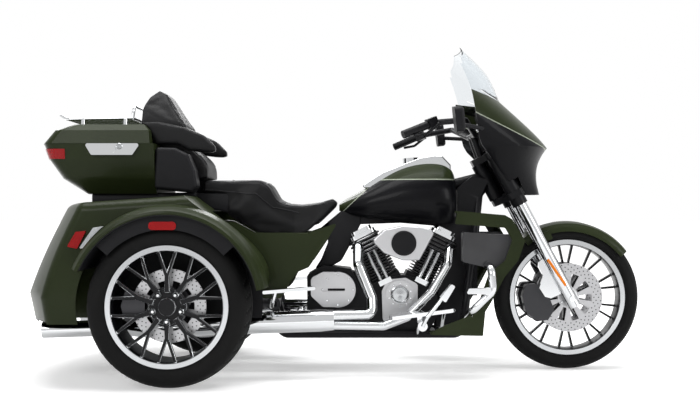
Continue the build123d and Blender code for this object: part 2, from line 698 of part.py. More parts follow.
def cylinder(lean):
    """A finned cylinder with its finned head."""
    core = extrude(cylinder_plane(lean, FIRST_FIN) * Circle(BORE_CORE_RADIUS), amount=FINS * FIN_PITCH)
    fins = []
    for i in range(FINS):
        at = cylinder_plane(lean, FIRST_FIN + i * FIN_PITCH + 4)
        fins.append(extrude(at * RectangleRounded(2 * FIN_HALF, 2 * FIN_HALF - 6, 34), amount=FIN_THICKNESS))
    head_foot = FIRST_FIN + FINS * FIN_PITCH
    head_shape = RectangleRounded(2 * HEAD_HALF - 12, 2 * FIN_HALF - 22, 20)
    head = extrude(cylinder_plane(lean, head_foot) * head_shape, amount=HEAD_HEIGHT)
    for i in range(4):
        at = cylinder_plane(lean, head_foot + 8 + i * 17)
        fins.append(extrude(at * RectangleRounded(2 * HEAD_HALF, 2 * FIN_HALF - 2, 26), amount=FIN_THICKNESS))
    return core.fuse(head, *fins)


def rocker_cover(lean):
    """The cover on a cylinder head, stepped and rounded."""
    foot = FIRST_FIN + FINS * FIN_PITCH + HEAD_HEIGHT
    base = extrude(cylinder_plane(lean, foot) * RectangleRounded(166, 118, 22), amount=ROCKER_HEIGHT * 0.5)
    top = extrude(cylinder_plane(lean, foot) * RectangleRounded(150, 98, 22), amount=ROCKER_HEIGHT)
    return base.fuse(top)


def engine_covers():
    """Cam cover and gearbox cover on the right, primary cover on the left."""
    right = -CASE_HALF_WIDTH
    deep = COVER_DEPTH
    cam = bar((CAM_X, right, CAM_Z), (CAM_X, right - deep, CAM_Z), CAM_RADIUS)
    chest = side_solid(
        [(200, 215), (330, 235), (352, 300), (352, 380), (300, 408), (220, 400), (196, 350)],
        right - 0.6 * deep, right, 16,
    )
    gear = bar((GEAR_X, right, GEAR_Z), (GEAR_X, right - deep, GEAR_Z), GEAR_RADIUS)
    nose = side_solid([(5, 434), (-60, 434), (-112, 408), (-112, 330), (-60, 282), (5, 282)], right - deep, right, 20)
    gear = gear.fuse(nose)
    gear -= side_solid([(-66, 366), (36, 366), (36, 350), (-66, 350)], right - deep - 1, right - deep + 10, 7)
    primary = side_solid(
        [(-120, 210), (330, 190), (400, 240), (410, 330), (350, 400), (40, 410), (-110, 390), (-130, 300)],
        CASE_HALF_WIDTH, CASE_HALF_WIDTH + 48, 46,
    )
    clutch = bar((30, CASE_HALF_WIDTH + 48, 300), (30, CASE_HALF_WIDTH + 62, 300), 72)
    return [cam.fuse(chest), gear, primary.fuse(clutch)]


def pushrod_tubes(cam_cover):
    """Two tubes up the right side of each cylinder, from a lifter block on the cam cover."""
    pieces = []
    foot = FIRST_FIN - 26
    top = FIRST_FIN + FINS * FIN_PITCH + 8
    for lean in (-1, 1):
        block = cylinder_plane(lean, foot) * Pos(-CASE_HALF_WIDTH - 14, 0) * Rectangle(28, 58)
        block = extrude(block, amount=22)
        rods = []
        for shift in (-15, 15):
            low = cylinder_plane(lean, foot + 22) * Pos(-CASE_HALF_WIDTH - 12, shift)
            high = cylinder_plane(lean, top) * Pos(-HEAD_HALF + 9, shift)
            rods.append(bar(low.position, high.position, 8))
        pieces.append(largest(block.fuse(*rods) - head_block(lean) - cam_cover))
    return pieces


def air_cleaner():
    """Eye-shaped air cleaner on a short neck that reaches the intake between the cylinders."""
    points = [(150, 571), (200, 618), (281, 636), (350, 632), (422, 614), (353, 488), (280, 489), (200, 520)]
    cover = side_solid(points, -232, -168, 14)
    cover = fillet(cover.faces().sort_by(Axis.Y)[0].edges(), 8)
    insert = bar((286, -228, 562), (286, -238, 562), 51)
    neck = bar((286, -168, 545), (286, -34, 545), 30)
    intake = side_solid([(256, 575), (316, 575), (316, 515), (256, 515)], -34, 34, 12)
    runner = bar((180, 0, 548), (390, 0, 548), 22)
    runner -= [head_envelope(lean) for lean in (-1, 1)]
    return cover.fuse(insert, neck, intake, runner)


def head_block(lean):
    """The block that a cylinder head and its fins fill."""
    foot = FIRST_FIN + FINS * FIN_PITCH
    return extrude(cylinder_plane(lean, foot) * Rectangle(2 * HEAD_HALF, 2 * FIN_HALF - 2), amount=HEAD_HEIGHT)


def head_envelope(lean):
    """The block that a cylinder's fins fill."""
    shape = cylinder_plane(lean, FIRST_FIN) * Rectangle(2 * HEAD_HALF, 2 * FIN_HALF - 2)
    return extrude(shape, amount=FINS * FIN_PITCH + HEAD_HEIGHT)


# Exhaust

MUFFLER_FRONT_Z = 243
MUFFLER_REAR = (-1217, MUFFLER_Y + 30, 205)
RIGHT_MUFFLER_FRONT_X = -10
LEFT_MUFFLER_FRONT_X = -110
CROSSOVER_X = -168


def muffler(front_x):
    """A muffler on the left: a long drum with a cone at each end and a hollow tip."""
    front, rear = Vector(front_x, MUFFLER_Y, MUFFLER_FRONT_Z), Vector(*MUFFLER_REAR)
    run = (rear - front).normalized()
    length = (rear - front).length
    mouth = MUFFLER_RADIUS - 4
    stations = ((0, mouth), (60, MUFFLER_RADIUS), (length - 420, MUFFLER_RADIUS), (length - 330, TIP_RADIUS), (length, TIP_RADIUS))
    points = [(0, 0)] + [(r, s) for s, r in stations] + [(0, length)]
    profile = make_face(Polyline(*points, close=True))
    body = revolve(Plane.XZ * profile, axis=Axis.Z)
    body -= Pos(0, 0, length) * Cylinder(TIP_RADIUS - 3, 160)
    return Plane(origin=front, z_dir=run) * body


def mufflers():
    """Right and left mufflers."""
    return [mirrored(muffler(RIGHT_MUFFLER_FRONT_X)), muffler(LEFT_MUFFLER_FRONT_X)]


def headers(drums):
    """Header pipes: the rear one down beside its cylinder, the front one low, and a crossover."""
    y = -MUFFLER_Y
    rear_pipe = tube(
        [(92, -HEAD_HALF + 4, 545), (92, -160, 545), (92, -222, 470), (150, -240, 330), (150, -262, 262), (-30, y, 262)],
        28, HEADER_RADIUS,
    )
    front_pipe = tube(
        [(486, -HEAD_HALF + 4, 540), (486, -150, 536), (476, -205, 470), (404, -225, 355), (301, -240, 250), (200, -262, 214), (-30, y, 222)],
        28, HEADER_RADIUS - 4,
    )
    crossover = bar((CROSSOVER_X, y, 240), (CROSSOVER_X, -y, 240), HEADER_RADIUS - 4)
    heads = [head_block(lean) for lean in (-1, 1)]
    pipes = [rear_pipe - drums[0] - heads, front_pipe - drums[0] - rear_pipe - heads, crossover - drums]
    return [largest(p) for p in pipes]


# Tank and seat

TANK_STATIONS = (
    (10, 700, 728, 52),
    (110, 672, 790, 112),
    (200, 660, 846, 140),
    (293, 652, 893, 156),
    (418, 643, 914, 164),
    (482, 642, 902, 146),
    (522, 668, 836, 96),
)
TUNNEL_HALF = 84
TUNNEL_Z = 674


def tank_section(x, low, high, half):
    """A section of the tank: flat foot, bulging sides and a rounded top."""
    height = high - low
    foot = Line((-0.7 * half, low), (0.7 * half, low))
    right = ThreePointArc((0.7 * half, low), (half, low + 0.4 * height), (0.62 * half, low + 0.86 * height))
    top = ThreePointArc((0.62 * half, low + 0.86 * height), (0, high), (-0.62 * half, low + 0.86 * height))
    left = ThreePointArc((-0.62 * half, low + 0.86 * height), (-half, low + 0.4 * height), (-0.7 * half, low))
    return Plane(origin=(x, 0, 0), x_dir=(0, 1, 0), z_dir=(1, 0, 0)) * make_face([foot, right, top, left])


def fuel_tank():
    """The fuel tank astride the backbone."""
    body = loft([tank_section(*row) for row in TANK_STATIONS])
    body -= box((-20, -TUNNEL_HALF, 600), (560, TUNNEL_HALF, TUNNEL_Z))
    body -= tube(BACKBONE, 60, BACKBONE_RADIUS)
    body -= bar((60, 0, 700 - 30), (645, 0, 846 - 30), BACKBONE_RADIUS)
    return largest(body)


def tank_console(tank):
    """A console along the top of the tank with the filler cap."""
    points = [(90, 800), (200, 868), (299, 908), (368, 934), (430, 944), (464, 942), (502, 902), (502, 850), (200, 800)]
    strip = side_solid(points, -46, 46, 10)
    strip = fillet(strip.faces().sort_by(Axis.Y)[0].edges() + strip.faces().sort_by(Axis.Y)[-1].edges(), 6)
    cap = bar((330, 0, 880), (326, 0, 934), 34)
    return largest(strip.fuse(cap) - tank)


def seat(tank):
    """A two-up seat with a stepped passenger part."""
    points = [
        (-583, 772), (-583, 818), (-560, 826), (-330, 828), (-285, 806), (-252, 745), (-215, 727), (-150, 722),
        (-70, 732), (2, 754), (16, 742), (-60, 668), (-118, SEAT_BASE_Z + 14), (-140, SEAT_BASE_Z),
        (-335, SEAT_BASE_Z), (-474, 690), (-474, 772),
    ]
    body = side_solid(points, -196, 196, 8)
    plan = plan_solid(
        [(-600, -178), (-600, 178), (-330, 192), (-180, 176), (-60, 120), (30, 66), (30, -66), (-60, -120), (-180, -176), (-330, -192)],
        500, 900, 20,
    )
    return largest((body & plan) - tank)


# Rear body: height, front, half-width, rear edge at the side and rear edge in the middle.
# The skirt below the crease is straight, and the body above it is bowed.
SKIRT_LEVELS = (
    (255, -290, 600, -1128, -1296),
    (360, -290, 606, -1143, -1320),
)
BODY_LEVELS = (
    (360, -290, 606, -1143, -1320),
    (560, -342, 600, -1078, -1236),
    (690, -504, 591, -1018, -1170),
    (800, -645, 582, -966, -1112),
)
CORNER = 46
DECK_ROUND = 42
DECK_REAR_Z = 706
DECK_SLOPE = 62 / 920


def plan_level(z, front, half, side_rear, middle_rear, corner, inset):
    """A level of a body that is square in front and bowed behind, drawn in by an inset."""
    half -= inset
    front -= inset
    side_rear += inset
    middle_rear += inset
    bow = ThreePointArc((side_rear, half), (middle_rear, 0), (side_rear, -half))
    rest = Polyline((side_rear, -half), (front, -half), (front, half), (side_rear, half))
    face = make_face([bow, rest])
    face = fillet(face.vertices().group_by(Axis.X)[0], corner - inset)
    return Plane(origin=(0, 0, z)) * face


def bowed_body(levels, inset, corner, ruled=False):
    """A body lofted through its levels."""
    return loft([plan_level(z, f, h, s, m, corner, inset) for z, f, h, s, m in levels], ruled=ruled)


def deck_z(x, drop=0):
    """The height of the rear body's sloping deck."""
    return DECK_REAR_Z - drop + (x + 1400) * DECK_SLOPE


def rear_volume(inset):
    """The whole rear body, drawn in by an inset, with its deck's side and rear edges rounded."""
    body = bowed_body(SKIRT_LEVELS, inset, CORNER, ruled=True).fuse(bowed_body(BODY_LEVELS, inset, CORNER))
    cut = [(-1400, deck_z(-1400, inset)), (-480, deck_z(-480, inset)), (-200, deck_z(-480, inset)), (-200, 900), (-1400, 900)]
    body -= side_solid(cut, -720, 720)
    rim = []
    for edge in body.edges():
        middle = edge.center()
        level = edge.bounding_box().size.Z < 70
        if level and middle.X < -700 and abs(middle.Z - deck_z(middle.X, inset)) < 4:
            rim.append(edge)
    return fillet(rim, DECK_ROUND - inset)


def arch(radius, low, high, side):
    """The round of a wheel arch between two distances from the middle plane."""
    return bar((REAR_AXLE_X, side * low, REAR_AXLE_Z), (REAR_AXLE_X, side * high, REAR_AXLE_Z), radius)


def arch_wedge(start, end, side):
    """All that lies between two angles about the rear axle, on one side."""
    reach = 900
    points = [(REAR_AXLE_X, REAR_AXLE_Z)]
    for angle in (start, 90, end):
        points.append((REAR_AXLE_X + reach * cos(radians(angle)), REAR_AXLE_Z + reach * sin(radians(angle))))
    return side_solid(points, min(0, side * 720), max(0, side * 720))


DOOR_HALF = 245
DOOR_LOW_Z = 445
DOOR_HIGH_Z = 680
DOOR_THICKNESS = 18
DOOR_TOP_X = -1170
HINGE_FOOT = Vector(-1261, 247, 445)
HINGE_AXIS = Vector(0.4153, 0, 0.9097)
HINGE_STARTS = (40, 180)
KNUCKLE_LENGTH = 16
KNUCKLE_RADIUS = 7
HINGE_PIN_RADIUS = 3


def hinge_bar(start, end, radius):
    """A round bar along the trunk door's hinge line."""
    return bar(HINGE_FOOT + HINGE_AXIS * start, HINGE_FOOT + HINGE_AXIS * end, radius)


def hinge_spans(start):
    """Where the body's two knuckles and the door's knuckle between them lie along the hinge line."""
    step = KNUCKLE_LENGTH + FIT
    return [(start + i * step, start + i * step + KNUCKLE_LENGTH) for i in range(3)]


def door_block(margin):
    """The space of the trunk door. Its top is square to the hinge line, so the door's top edge stays in its plane."""
    reach = DOOR_HALF + margin
    block = box((-1400, -reach, DOOR_LOW_Z - margin), (-1100, reach, DOOR_HIGH_Z + 60))
    top = Plane(origin=Vector(DOOR_TOP_X, 0, DOOR_HIGH_Z) + HINGE_AXIS * margin, z_dir=HINGE_AXIS)
    return block - extrude(top * Rectangle(900, 900), amount=300)


def rear_tub():
    """The middle of the rear body with the trunk in it, open in front and below for the axle."""
    outer = rear_volume(0) & box((-1400, -TUB_HALF_WIDTH, 200), (-480, TUB_HALF_WIDTH, 900))
    wall = TUB_HALF_WIDTH - PANEL
    inner = rear_volume(PANEL).fuse(box((-520, -700, 200), (-470, 700, deck_z(-520, PANEL))))
    inner = inner & box((-1400, -wall, 200), (-400, wall, 900))
    shell = outer - inner
    floor = box((-1400, -wall, TRUNK_FLOOR_Z - PANEL), (TRUNK_FRONT_X, wall, TRUNK_FLOOR_Z))
    front = box((TRUNK_FRONT_X - PANEL, -wall, TRUNK_FLOOR_Z - PANEL), (TRUNK_FRONT_X, wall, 800))
    pad = box((-1100, -TRUNK_PAD_HALF, TRUNK_FLOOR_Z), (TRUNK_FRONT_X - 20, TRUNK_PAD_HALF, TRUNK_FLOOR_Z + TRUNK_PAD_RISE))
    shell = shell.fuse((floor.fuse(front)) & inner, pad)
    shell -= box((-1200, -wall, 200), (-400, wall, 262))
    shell -= door_block(RUNNING_GAP)
    for side in (-1, 1):
        start = Vector(-300, side * MUFFLER_Y, 234)
        shell -= bar(start, (-1400, side * (MUFFLER_Y + 35), 199), MUFFLER_RADIUS + 8)
        shell -= arch(AXLE_HOLE_RADIUS, 300, 380, side)
    for start in HINGE_STARTS:
        low, middle, high = hinge_spans(start)
        shell -= hinge_bar(low[1], high[0], KNUCKLE_RADIUS + 1)
        pin = hinge_bar(low[0], high[1], HINGE_PIN_RADIUS)
        shell = shell.fuse(hinge_bar(*low, KNUCKLE_RADIUS), hinge_bar(*high, KNUCKLE_RADIUS), pin)
    return shell


def trunk_door():
    """The trunk's door, bowed like the tail, with a handle lip and a blank plate."""
    outer = rear_volume(0)
    inner = bowed_body(SKIRT_LEVELS, DOOR_THICKNESS, CORNER + 10, ruled=True).fuse(
        bowed_body(BODY_LEVELS, DOOR_THICKNESS, CORNER + 10)
    )
    slab = (outer - inner) & door_block(0)
    slab = largest(slab)
    for start in HINGE_STARTS:
        low, middle, high = hinge_spans(start)
        slab -= hinge_bar(low[0] - 1, middle[0], KNUCKLE_RADIUS + 1)
        slab -= hinge_bar(middle[1], high[1] + 1, KNUCKLE_RADIUS + 1)
        slab = slab.fuse(hinge_bar(*middle, KNUCKLE_RADIUS))
        slab -= hinge_bar(low[0], high[1], HINGE_PIN_RADIUS + FIT / 2)
    return slab


def fender(side):
    """A rear fender with its flared arch."""
    outer = rear_volume(0)
    low, high = TUB_HALF_WIDTH, 720
    half_space = box((-1400, min(side * low, side * high), 200), (-200, max(side * low, side * high), 900))
    outer = outer & half_space
    inner = rear_volume(PANEL)
    wall = low + PANEL
    inner = inner & box((-1400, min(side * wall, side * high), 200), (-200, max(side * wall, side * high), 900))
    shell = outer - inner
    shell -= box((-1200, min(side * wall, side * 590), 200), (-300, max(side * wall, side * 590), 262))
    shell -= arch(ARCH_RADIUS, wall, 720, side)
    shell -= arch(AXLE_HOLE_RADIUS, 300, wall + 1, side)
    shell -= box((REAR_AXLE_X - 316, min(side * wall, side * 720), 200), (-200, max(side * wall, side * 720), REAR_AXLE_Z + 70))
    shell -= box((REAR_AXLE_X, min(side * low, side * 720), 200), (-200, max(side * low, side * 720), REAR_AXLE_Z + 70))
    middle = REAR_WHEEL_Y
    flare = [
        (ARCH_RADIUS, 592 - middle), (ARCH_RADIUS, BODY_HALF_WIDTH - 5 - middle),
        (ARCH_RADIUS + 5, BODY_HALF_WIDTH - middle), (ARCH_RADIUS + 14, BODY_HALF_WIDTH - 2 - middle),
        (ARCH_RADIUS + 30, BODY_HALF_WIDTH - 22 - middle), (FLARE_RADIUS + 4, 592 - middle),
    ]
    ring = turned_ring(flare, (REAR_AXLE_X, side * REAR_WHEEL_Y, REAR_AXLE_Z), side)
    ring = ring & arch_wedge(11, 157, side)
    shell = shell.fuse(ring)
    shell -= bar((-300, side * MUFFLER_Y, 234), (-1400, side * (MUFFLER_Y + 35), 199), MUFFLER_RADIUS + 8)
    return largest(shell)


def wheel_liner(side):
    """The black liner inside an arch: a curved roof, an inner wall and an outer skirt."""
    middle = REAR_WHEEL_Y
    roof = [(ARCH_RADIUS - LINER_WALL, WELL_INNER - middle), (ARCH_RADIUS, WELL_INNER - middle),
            (ARCH_RADIUS, 688 - middle), (ARCH_RADIUS - LINER_WALL, 688 - middle)]
    ring = turned_ring(roof, (REAR_AXLE_X, side * middle, REAR_AXLE_Z), side)
    wall = arch(ARCH_RADIUS - LINER_WALL, WELL_INNER, WELL_INNER + LINER_WALL, side)
    wall -= arch(AXLE_HOLE_RADIUS, WELL_INNER - 1, WELL_INNER + LINER_WALL + 1, side)
    wall = wall & box((-1200, -720, 262), (-200, 720, 900))
    skirt = arch(ARCH_RADIUS - LINER_WALL, 660, 664, side) - arch(302, 600, 700, side)
    skirt = skirt & arch_wedge(42, 138, side)
    ring = ring & arch_wedge(12, 156, side)
    return ring.fuse(wall, skirt)


# Lamps on the rear body


def side_lamps(side):
    """A slanted lamp on a fender's flank: a red lens behind and a clear one in front."""
    skin = rear_volume(0)
    low, high = min(side * 560, side * 612), max(side * 560, side * 612)
    red = side_solid([(-1012, 618), (-1046, 560), (-1006, 552), (-972, 622)], low, high, 4) - skin
    clear = side_solid([(-944, 634), (-902, 641), (-962, 556), (-1000, 552)], low, high, 4) - skin - arch(FLARE_RADIUS + 5, 500, 720, side)
    return largest(red), largest(clear)


def arch_marker(side):
    """The red marker on the skirt inside an arch."""
    low, high = sorted((side * 664, side * 670))
    return side_solid([(-718, 658), (-612, 658), (-612, 626), (-718, 626)], low, high, 14)


def box_lamps():
    """Red lamps round the rear corners of the top box."""
    outer = bowed_body(BOX_LEVELS, -4, BOX_CORNER, ruled=True)
    body = bowed_body(BOX_LEVELS, 0, BOX_CORNER, ruled=True)
    lamps = []
    for side in (-1, 1):
        low, high = sorted((side * 170, side * 400))
        band = (outer - body) & box((-1400, low, 916), (-1130, high, 958))
        lamps.append(largest(band))
    return lamps


# Top box: height, front, half-width, rear edge at the side and rear edge in the middle
BOX_LEVELS = (
    (772, -760, 246, -1044, -1088),
    (837, -760, 290, -1137, -1190),
    (914, -760, 312, -1187, -1244),
    (981, -760, 322, -1208, -1270),
)
LID_LEVELS = (
    (981.3, -776, 324, -1210, -1272),
    (1036, -782, 315, -1168, -1226),
    (1062, -806, 286, -1098, -1142),
)
BOX_CORNER = 44
BOX_WALL = 5
LID_NOTCH_X = -850
LID_NOTCH_HALF = 250


def tour_box():
    """The lower half of the top box, open above, with a shelf in front that carries the backrest."""
    outer = bowed_body(BOX_LEVELS, 0, BOX_CORNER, ruled=True)
    inner = bowed_body(BOX_LEVELS, BOX_WALL, BOX_CORNER, ruled=True)
    inner -= box((-1400, -400, 700), (-700, 400, BOX_LEVELS[0][0] + BOX_WALL))
    top = BOX_LEVELS[-1][0]
    shelf = box((LID_NOTCH_X, -400, top - BOX_WALL), (-700, 400, top)) & outer
    return (outer - inner).fuse(shelf, *box_mounts())


def box_lid():
    """The lid, hollow below, notched in front round the backrest."""
    outer = bowed_body(LID_LEVELS, 0, BOX_CORNER, ruled=True)
    inner = bowed_body(LID_LEVELS, BOX_WALL, BOX_CORNER, ruled=True)
    inner -= box((-1400, -400, LID_LEVELS[-1][0] - BOX_WALL), (-700, 400, 1200))
    notch = box((LID_NOTCH_X, -LID_NOTCH_HALF, 900), (-700, LID_NOTCH_HALF, 1200))
    wall = BOX_WALL
    grown = box((LID_NOTCH_X - wall, -LID_NOTCH_HALF - wall, 900), (-700, LID_NOTCH_HALF + wall, 1200))
    return (outer - notch) - (inner - grown)


RACK_Z = 1096
RACK_RAILS = 7
RACK_HALF = 205


def luggage_rack():
    """A chrome rack on the lid: a rim, long rails between, four feet and a raised front loop."""
    top = LID_LEVELS[-1][0]
    rim = [(-870, RACK_HALF, RACK_Z), (-1150, RACK_HALF, RACK_Z - 6), (-1192, RACK_HALF - 60, RACK_Z + 16), (-1192, 0, RACK_Z + 16)]
    half = tube(rim, 40, 7)
    pieces = [half, mirrored(half)]
    for i in range(RACK_RAILS):
        y = RACK_HALF * (2 * (i + 1) / (RACK_RAILS + 1) - 1)
        pieces.append(tube([(-870, y, RACK_Z), (-1150, y, RACK_Z - 6), (-1192, y * 0.9, RACK_Z + 16)], 20, 5))
    loop = tube([(-870, -RACK_HALF, RACK_Z), (-862, -RACK_HALF, RACK_Z + 50), (-862, RACK_HALF, RACK_Z + 50), (-870, RACK_HALF, RACK_Z)], 40, 7)
    pieces.append(loop)
    pieces.append(bar((-870, -RACK_HALF, RACK_Z), (-870, RACK_HALF, RACK_Z), 7))
    for x in (-900, -1080):
        for y in (-RACK_HALF, RACK_HALF):
            pieces.append(bar((x, y, top), (x, y, RACK_Z - 3), 9))
    return pieces[0].fuse(*pieces[1:])


def box_latch():
    """A chrome latch plate with a round lock on the right side of the box."""
    body = bowed_body(BOX_LEVELS, 0, BOX_CORNER, ruled=True)
    plate = side_solid([(-1047, 980), (-814, 980), (-847, 932), (-1018, 932)], -332, -280, 8)
    lock = bar((-930, -300, 956), (-930, -338, 956), 15)
    return largest(plate.fuse(lock) - body)


def box_mounts():
    """Four posts between the rear body's deck and the top box."""
    skin = rear_volume(0)
    foot = BOX_LEVELS[0][0] + 1
    posts = [bar((x, y, 700), (x, y, foot), 12) - skin for x in (-985, -800) for y in (-RAIL_Y, RAIL_Y)]
    return [largest(post) for post in posts]


POD_DEPTH = 178


def speaker_pods():
    """Two black pods in front of the top box, one each side of the passenger."""
    front = BOX_LEVELS[0][1]
    outline = [
        (front, 790), (front + POD_DEPTH - 22, 776), (front + POD_DEPTH, 800), (front + POD_DEPTH - 10, 870),
        (front + 138, 938), (front + 84, 964), (front, 966),
    ]
    left = side_solid(outline, 196, 300, 18)
    left = fillet(left.faces().sort_by(Axis.Y)[-1].edges(), 15)
    return both_sides(left)


BACKREST_HALF = 184
ARM_INNER = 190
ARM_OUTER = 245


def backrest():
    """The passenger's backrest on the box's shelf, with an armrest sweeping forward on each side."""
    shelf = BOX_LEVELS[-1][0] + FIT
    front = BOX_LEVELS[0][1] + FIT
    outline = [
        (-842, shelf), (-842, 1140), (-818, 1205), (-782, 1240), (-745, 1215), (-695, 1130), (-655, 1066), (-634, 975),
        (-580, 930), (-550, 880), (-545, 832), (-600, 830), (front, 830), (front, shelf),
    ]
    body = side_solid(outline, -BACKREST_HALF, BACKREST_HALF, 5)
    front_view = [
        (-BACKREST_HALF, 820), (-BACKREST_HALF, 1080), (-140, 1170), (-80, 1250), (80, 1250), (140, 1170),
        (BACKREST_HALF, 1080), (BACKREST_HALF, 820),
    ]
    body = body & front_solid(front_view, -900, -400, 30)
    arm_outline = [
        (-826, 1080), (-760, 1084), (-645, 1061), (-560, 1026), (-509, 978), (-506, 953), (-530, 946), (-628, 948),
        (-673, 973), (-775, 978), (-809, 1044),
    ]
    arm = side_solid(arm_outline, ARM_INNER, ARM_OUTER, 10)
    arm = fillet(arm.faces().sort_by(Axis.Y)[-1].edges(), 7)
    link = box((-765, BACKREST_HALF - 40, 1000), (-700, ARM_INNER + 4, 1060))
    body = body.fuse(arm, mirrored(arm), link, mirrored(link))
    return body - box((-1400, -400, 700), (front, 400, shelf))


# Side panels, lower fairings and guards


def side_panel(side, body_frame):
    """The painted panel under the seat, in front of a rear fender."""
    outline = [
        (6, 651), (-27, 594), (-113, 466), (-160, 446), (-189, 408), (-213, 358), (-232, 337), (-298, 337),
        (-400, 420), (-440, 560), (-446, 656), (-408, 651), (-341, 610), (-120, 606),
    ]
    low, high = sorted((side * (TUB_HALF_WIDTH - PANEL), side * TUB_HALF_WIDTH))
    panel = side_solid(outline, low, high, 6)
    shelf_low, shelf_high = sorted((side * 200, side * (TUB_HALF_WIDTH - 1)))
    shelf = side_solid([(-120, 600), (-120, 606), (-341, 606), (-341, 600)], shelf_low, shelf_high)
    strut_low, strut_high = sorted((side * (CRADLE_HALF_WIDTH - 6), side * 210))
    strut = bar((-310, strut_low, 540), (-310, strut_high, 540), 8)
    brace = bar((-310, side * 210, 540), (-310, side * (TUB_HALF_WIDTH - 2), 540), 8)
    return largest(panel.fuse(shelf, strut, brace) - body_frame)


LOWER_INNER = 232
LOWER_OUTER = 345
GUARD_RADIUS = 16
GUARD_ROUTE = [(606, 100, 560), (620, 240, 478), (636, 400, 470), (642, 402, 372), (560, 398, 292), (550, 240, 250), (550, 142, 240)]


def engine_guard(body_frame):
    """The left guard tube, from the frame out round a lower fairing, with a peg."""
    left = tube(GUARD_ROUTE, 40, GUARD_RADIUS)
    peg = side_solid([(530, 362), (540, 384), (612, 386), (622, 372), (612, 360)], 402, 436, 6)
    clamp = bar((618, 400, 372), (618, 420, 372), 16)
    return largest(left.fuse(peg, clamp) - body_frame)


FAIRING_LOWER = [
    (502, 699), (699, 682), (730, 664), (783, 575), (754, 493), (699, 427), (640, 317), (618, 282), (608, 181),
    (372, 186), (450, 225), (560, 268), (590, 320), (633, 440), (699, 493), (729, 578), (699, 629), (492, 645),
]
LOWER_CAVITY = [
    (480, 693), (697, 676), (725, 660), (776, 574), (748, 495), (693, 430), (634, 320), (612, 284), (602, 188),
    (300, 193), (300, 640),
]


def lower_cavity(side, low, high):
    """The space inside a lower fairing between two distances from the middle plane."""
    y_low, y_high = sorted((side * low, side * high))
    return side_solid(LOWER_CAVITY, y_low, y_high)


def lower_fairing(side, guard):
    """A vented shell ahead of a rider's leg: a bowed front, a wide opening and a skirt below."""
    low, high = sorted((side * LOWER_INNER, side * LOWER_OUTER))
    shell = side_solid(FAIRING_LOWER, low, high, 6)
    shell -= lower_cavity(side, LOWER_INNER - 1, LOWER_OUTER - PANEL)
    return largest(shell - guard)


def lower_pocket(side, guard):
    """The dark vent box inside a lower fairing, against its front wall."""
    low, high = sorted((side * (LOWER_INNER + 6), side * (LOWER_OUTER - 24)))
    block = side_solid([(528, 612), (649, 602), (790, 600), (790, 490), (660, 456), (528, 486)], low, high, 8)
    block = block & lower_cavity(side, LOWER_INNER - 1, LOWER_OUTER - PANEL)
    return largest(block - guard)


def guard_clearance():
    """The engine guard grown by the fit, to cut from what it passes through."""
    return [tube(GUARD_ROUTE, 40, GUARD_RADIUS + FIT), mirrored(tube(GUARD_ROUTE, 40, GUARD_RADIUS + FIT))]


def oil_cooler(body_frame):
    """A finned cooler between the down tubes."""
    core = box((566, -104, 330), (612, 104, 536))
    for i in range(7):
        z = 348 + i * 27
        core -= box((600, -90, z), (620, 90, z + 12))
    return largest(core - body_frame)


BOARD_LOW, BOARD_HIGH = 270, 392


def floorboards():
    """A tilted board for each of the rider's feet, on two brackets from the cradle."""
    plan = plan_solid([(218, BOARD_LOW), (218, BOARD_HIGH), (492, BOARD_HIGH), (492, BOARD_LOW)], 200, 340, 30)
    board = side_solid([(220, 249), (490, 284), (490, 299), (220, 264)], BOARD_LOW, BOARD_HIGH, 5) & plan
    brackets = [bar((x, CRADLE_HALF_WIDTH, CRADLE_Z), (x, 300, z), 9) for x, z in ((350, 262), (450, 275))]
    tubes = bar((0, CRADLE_HALF_WIDTH, CRADLE_Z), (530, CRADLE_HALF_WIDTH, CRADLE_Z), FRAME_TUBE)
    left = board.fuse(*brackets) - tubes
    return both_sides(largest(left))


def foot_controls():
    """The brake pedal on the right and the shift lever on the left, each on a boss under its board."""
    boss = bar((355, 318, 226), (355, 398, 226), 20)
    web = side_solid([(338, 226), (372, 226), (376, 280), (334, 280)], 330, 346)
    board = side_solid([(220, 249), (490, 284), (490, 299), (220, 264)], BOARD_LOW, BOARD_HIGH, 5)
    base = boss.fuse(web) - board
    base = largest(base)
    arm = tube([(355, 398, 226), (372, 404, 262), (420, 404, 322), (432, 404, 340)], 30, 8)
    pad = side_solid([(424, 344), (446, 326), (486, 392), (470, 402)], 376, 432, 6)
    pedal = base.fuse(arm, pad)
    shifter = tube([(355, 398, 226), (400, 404, 280), (470, 404, 330), (500, 404, 352)], 30, 7)
    toe = bar((500, 380, 352), (500, 428, 352), 11)
    return [mirrored(pedal), base.fuse(shifter, toe)]


def passenger_footrests():
    """A footrest on an arm from each end of the swingarm pivot."""
    pad = side_solid([(-300, 358), (-84, 376), (-84, 390), (-300, 372)], 352, 404, 6)
    arm = tube([(PIVOT_X, CRADLE_HALF_WIDTH + 50, PIVOT_Z), (PIVOT_X, 300, PIVOT_Z), (-260, 378, 330), (-250, 378, 364)], 24, 9)
    return both_sides(arm.fuse(pad))


# Rear axle and suspension

HOUSING_RADIUS = 38
AXLE_FLANGE_RADIUS = 58
AXLE_END = 525
BRACKET_THICKNESS = 14
ARM_RADIUS = 20


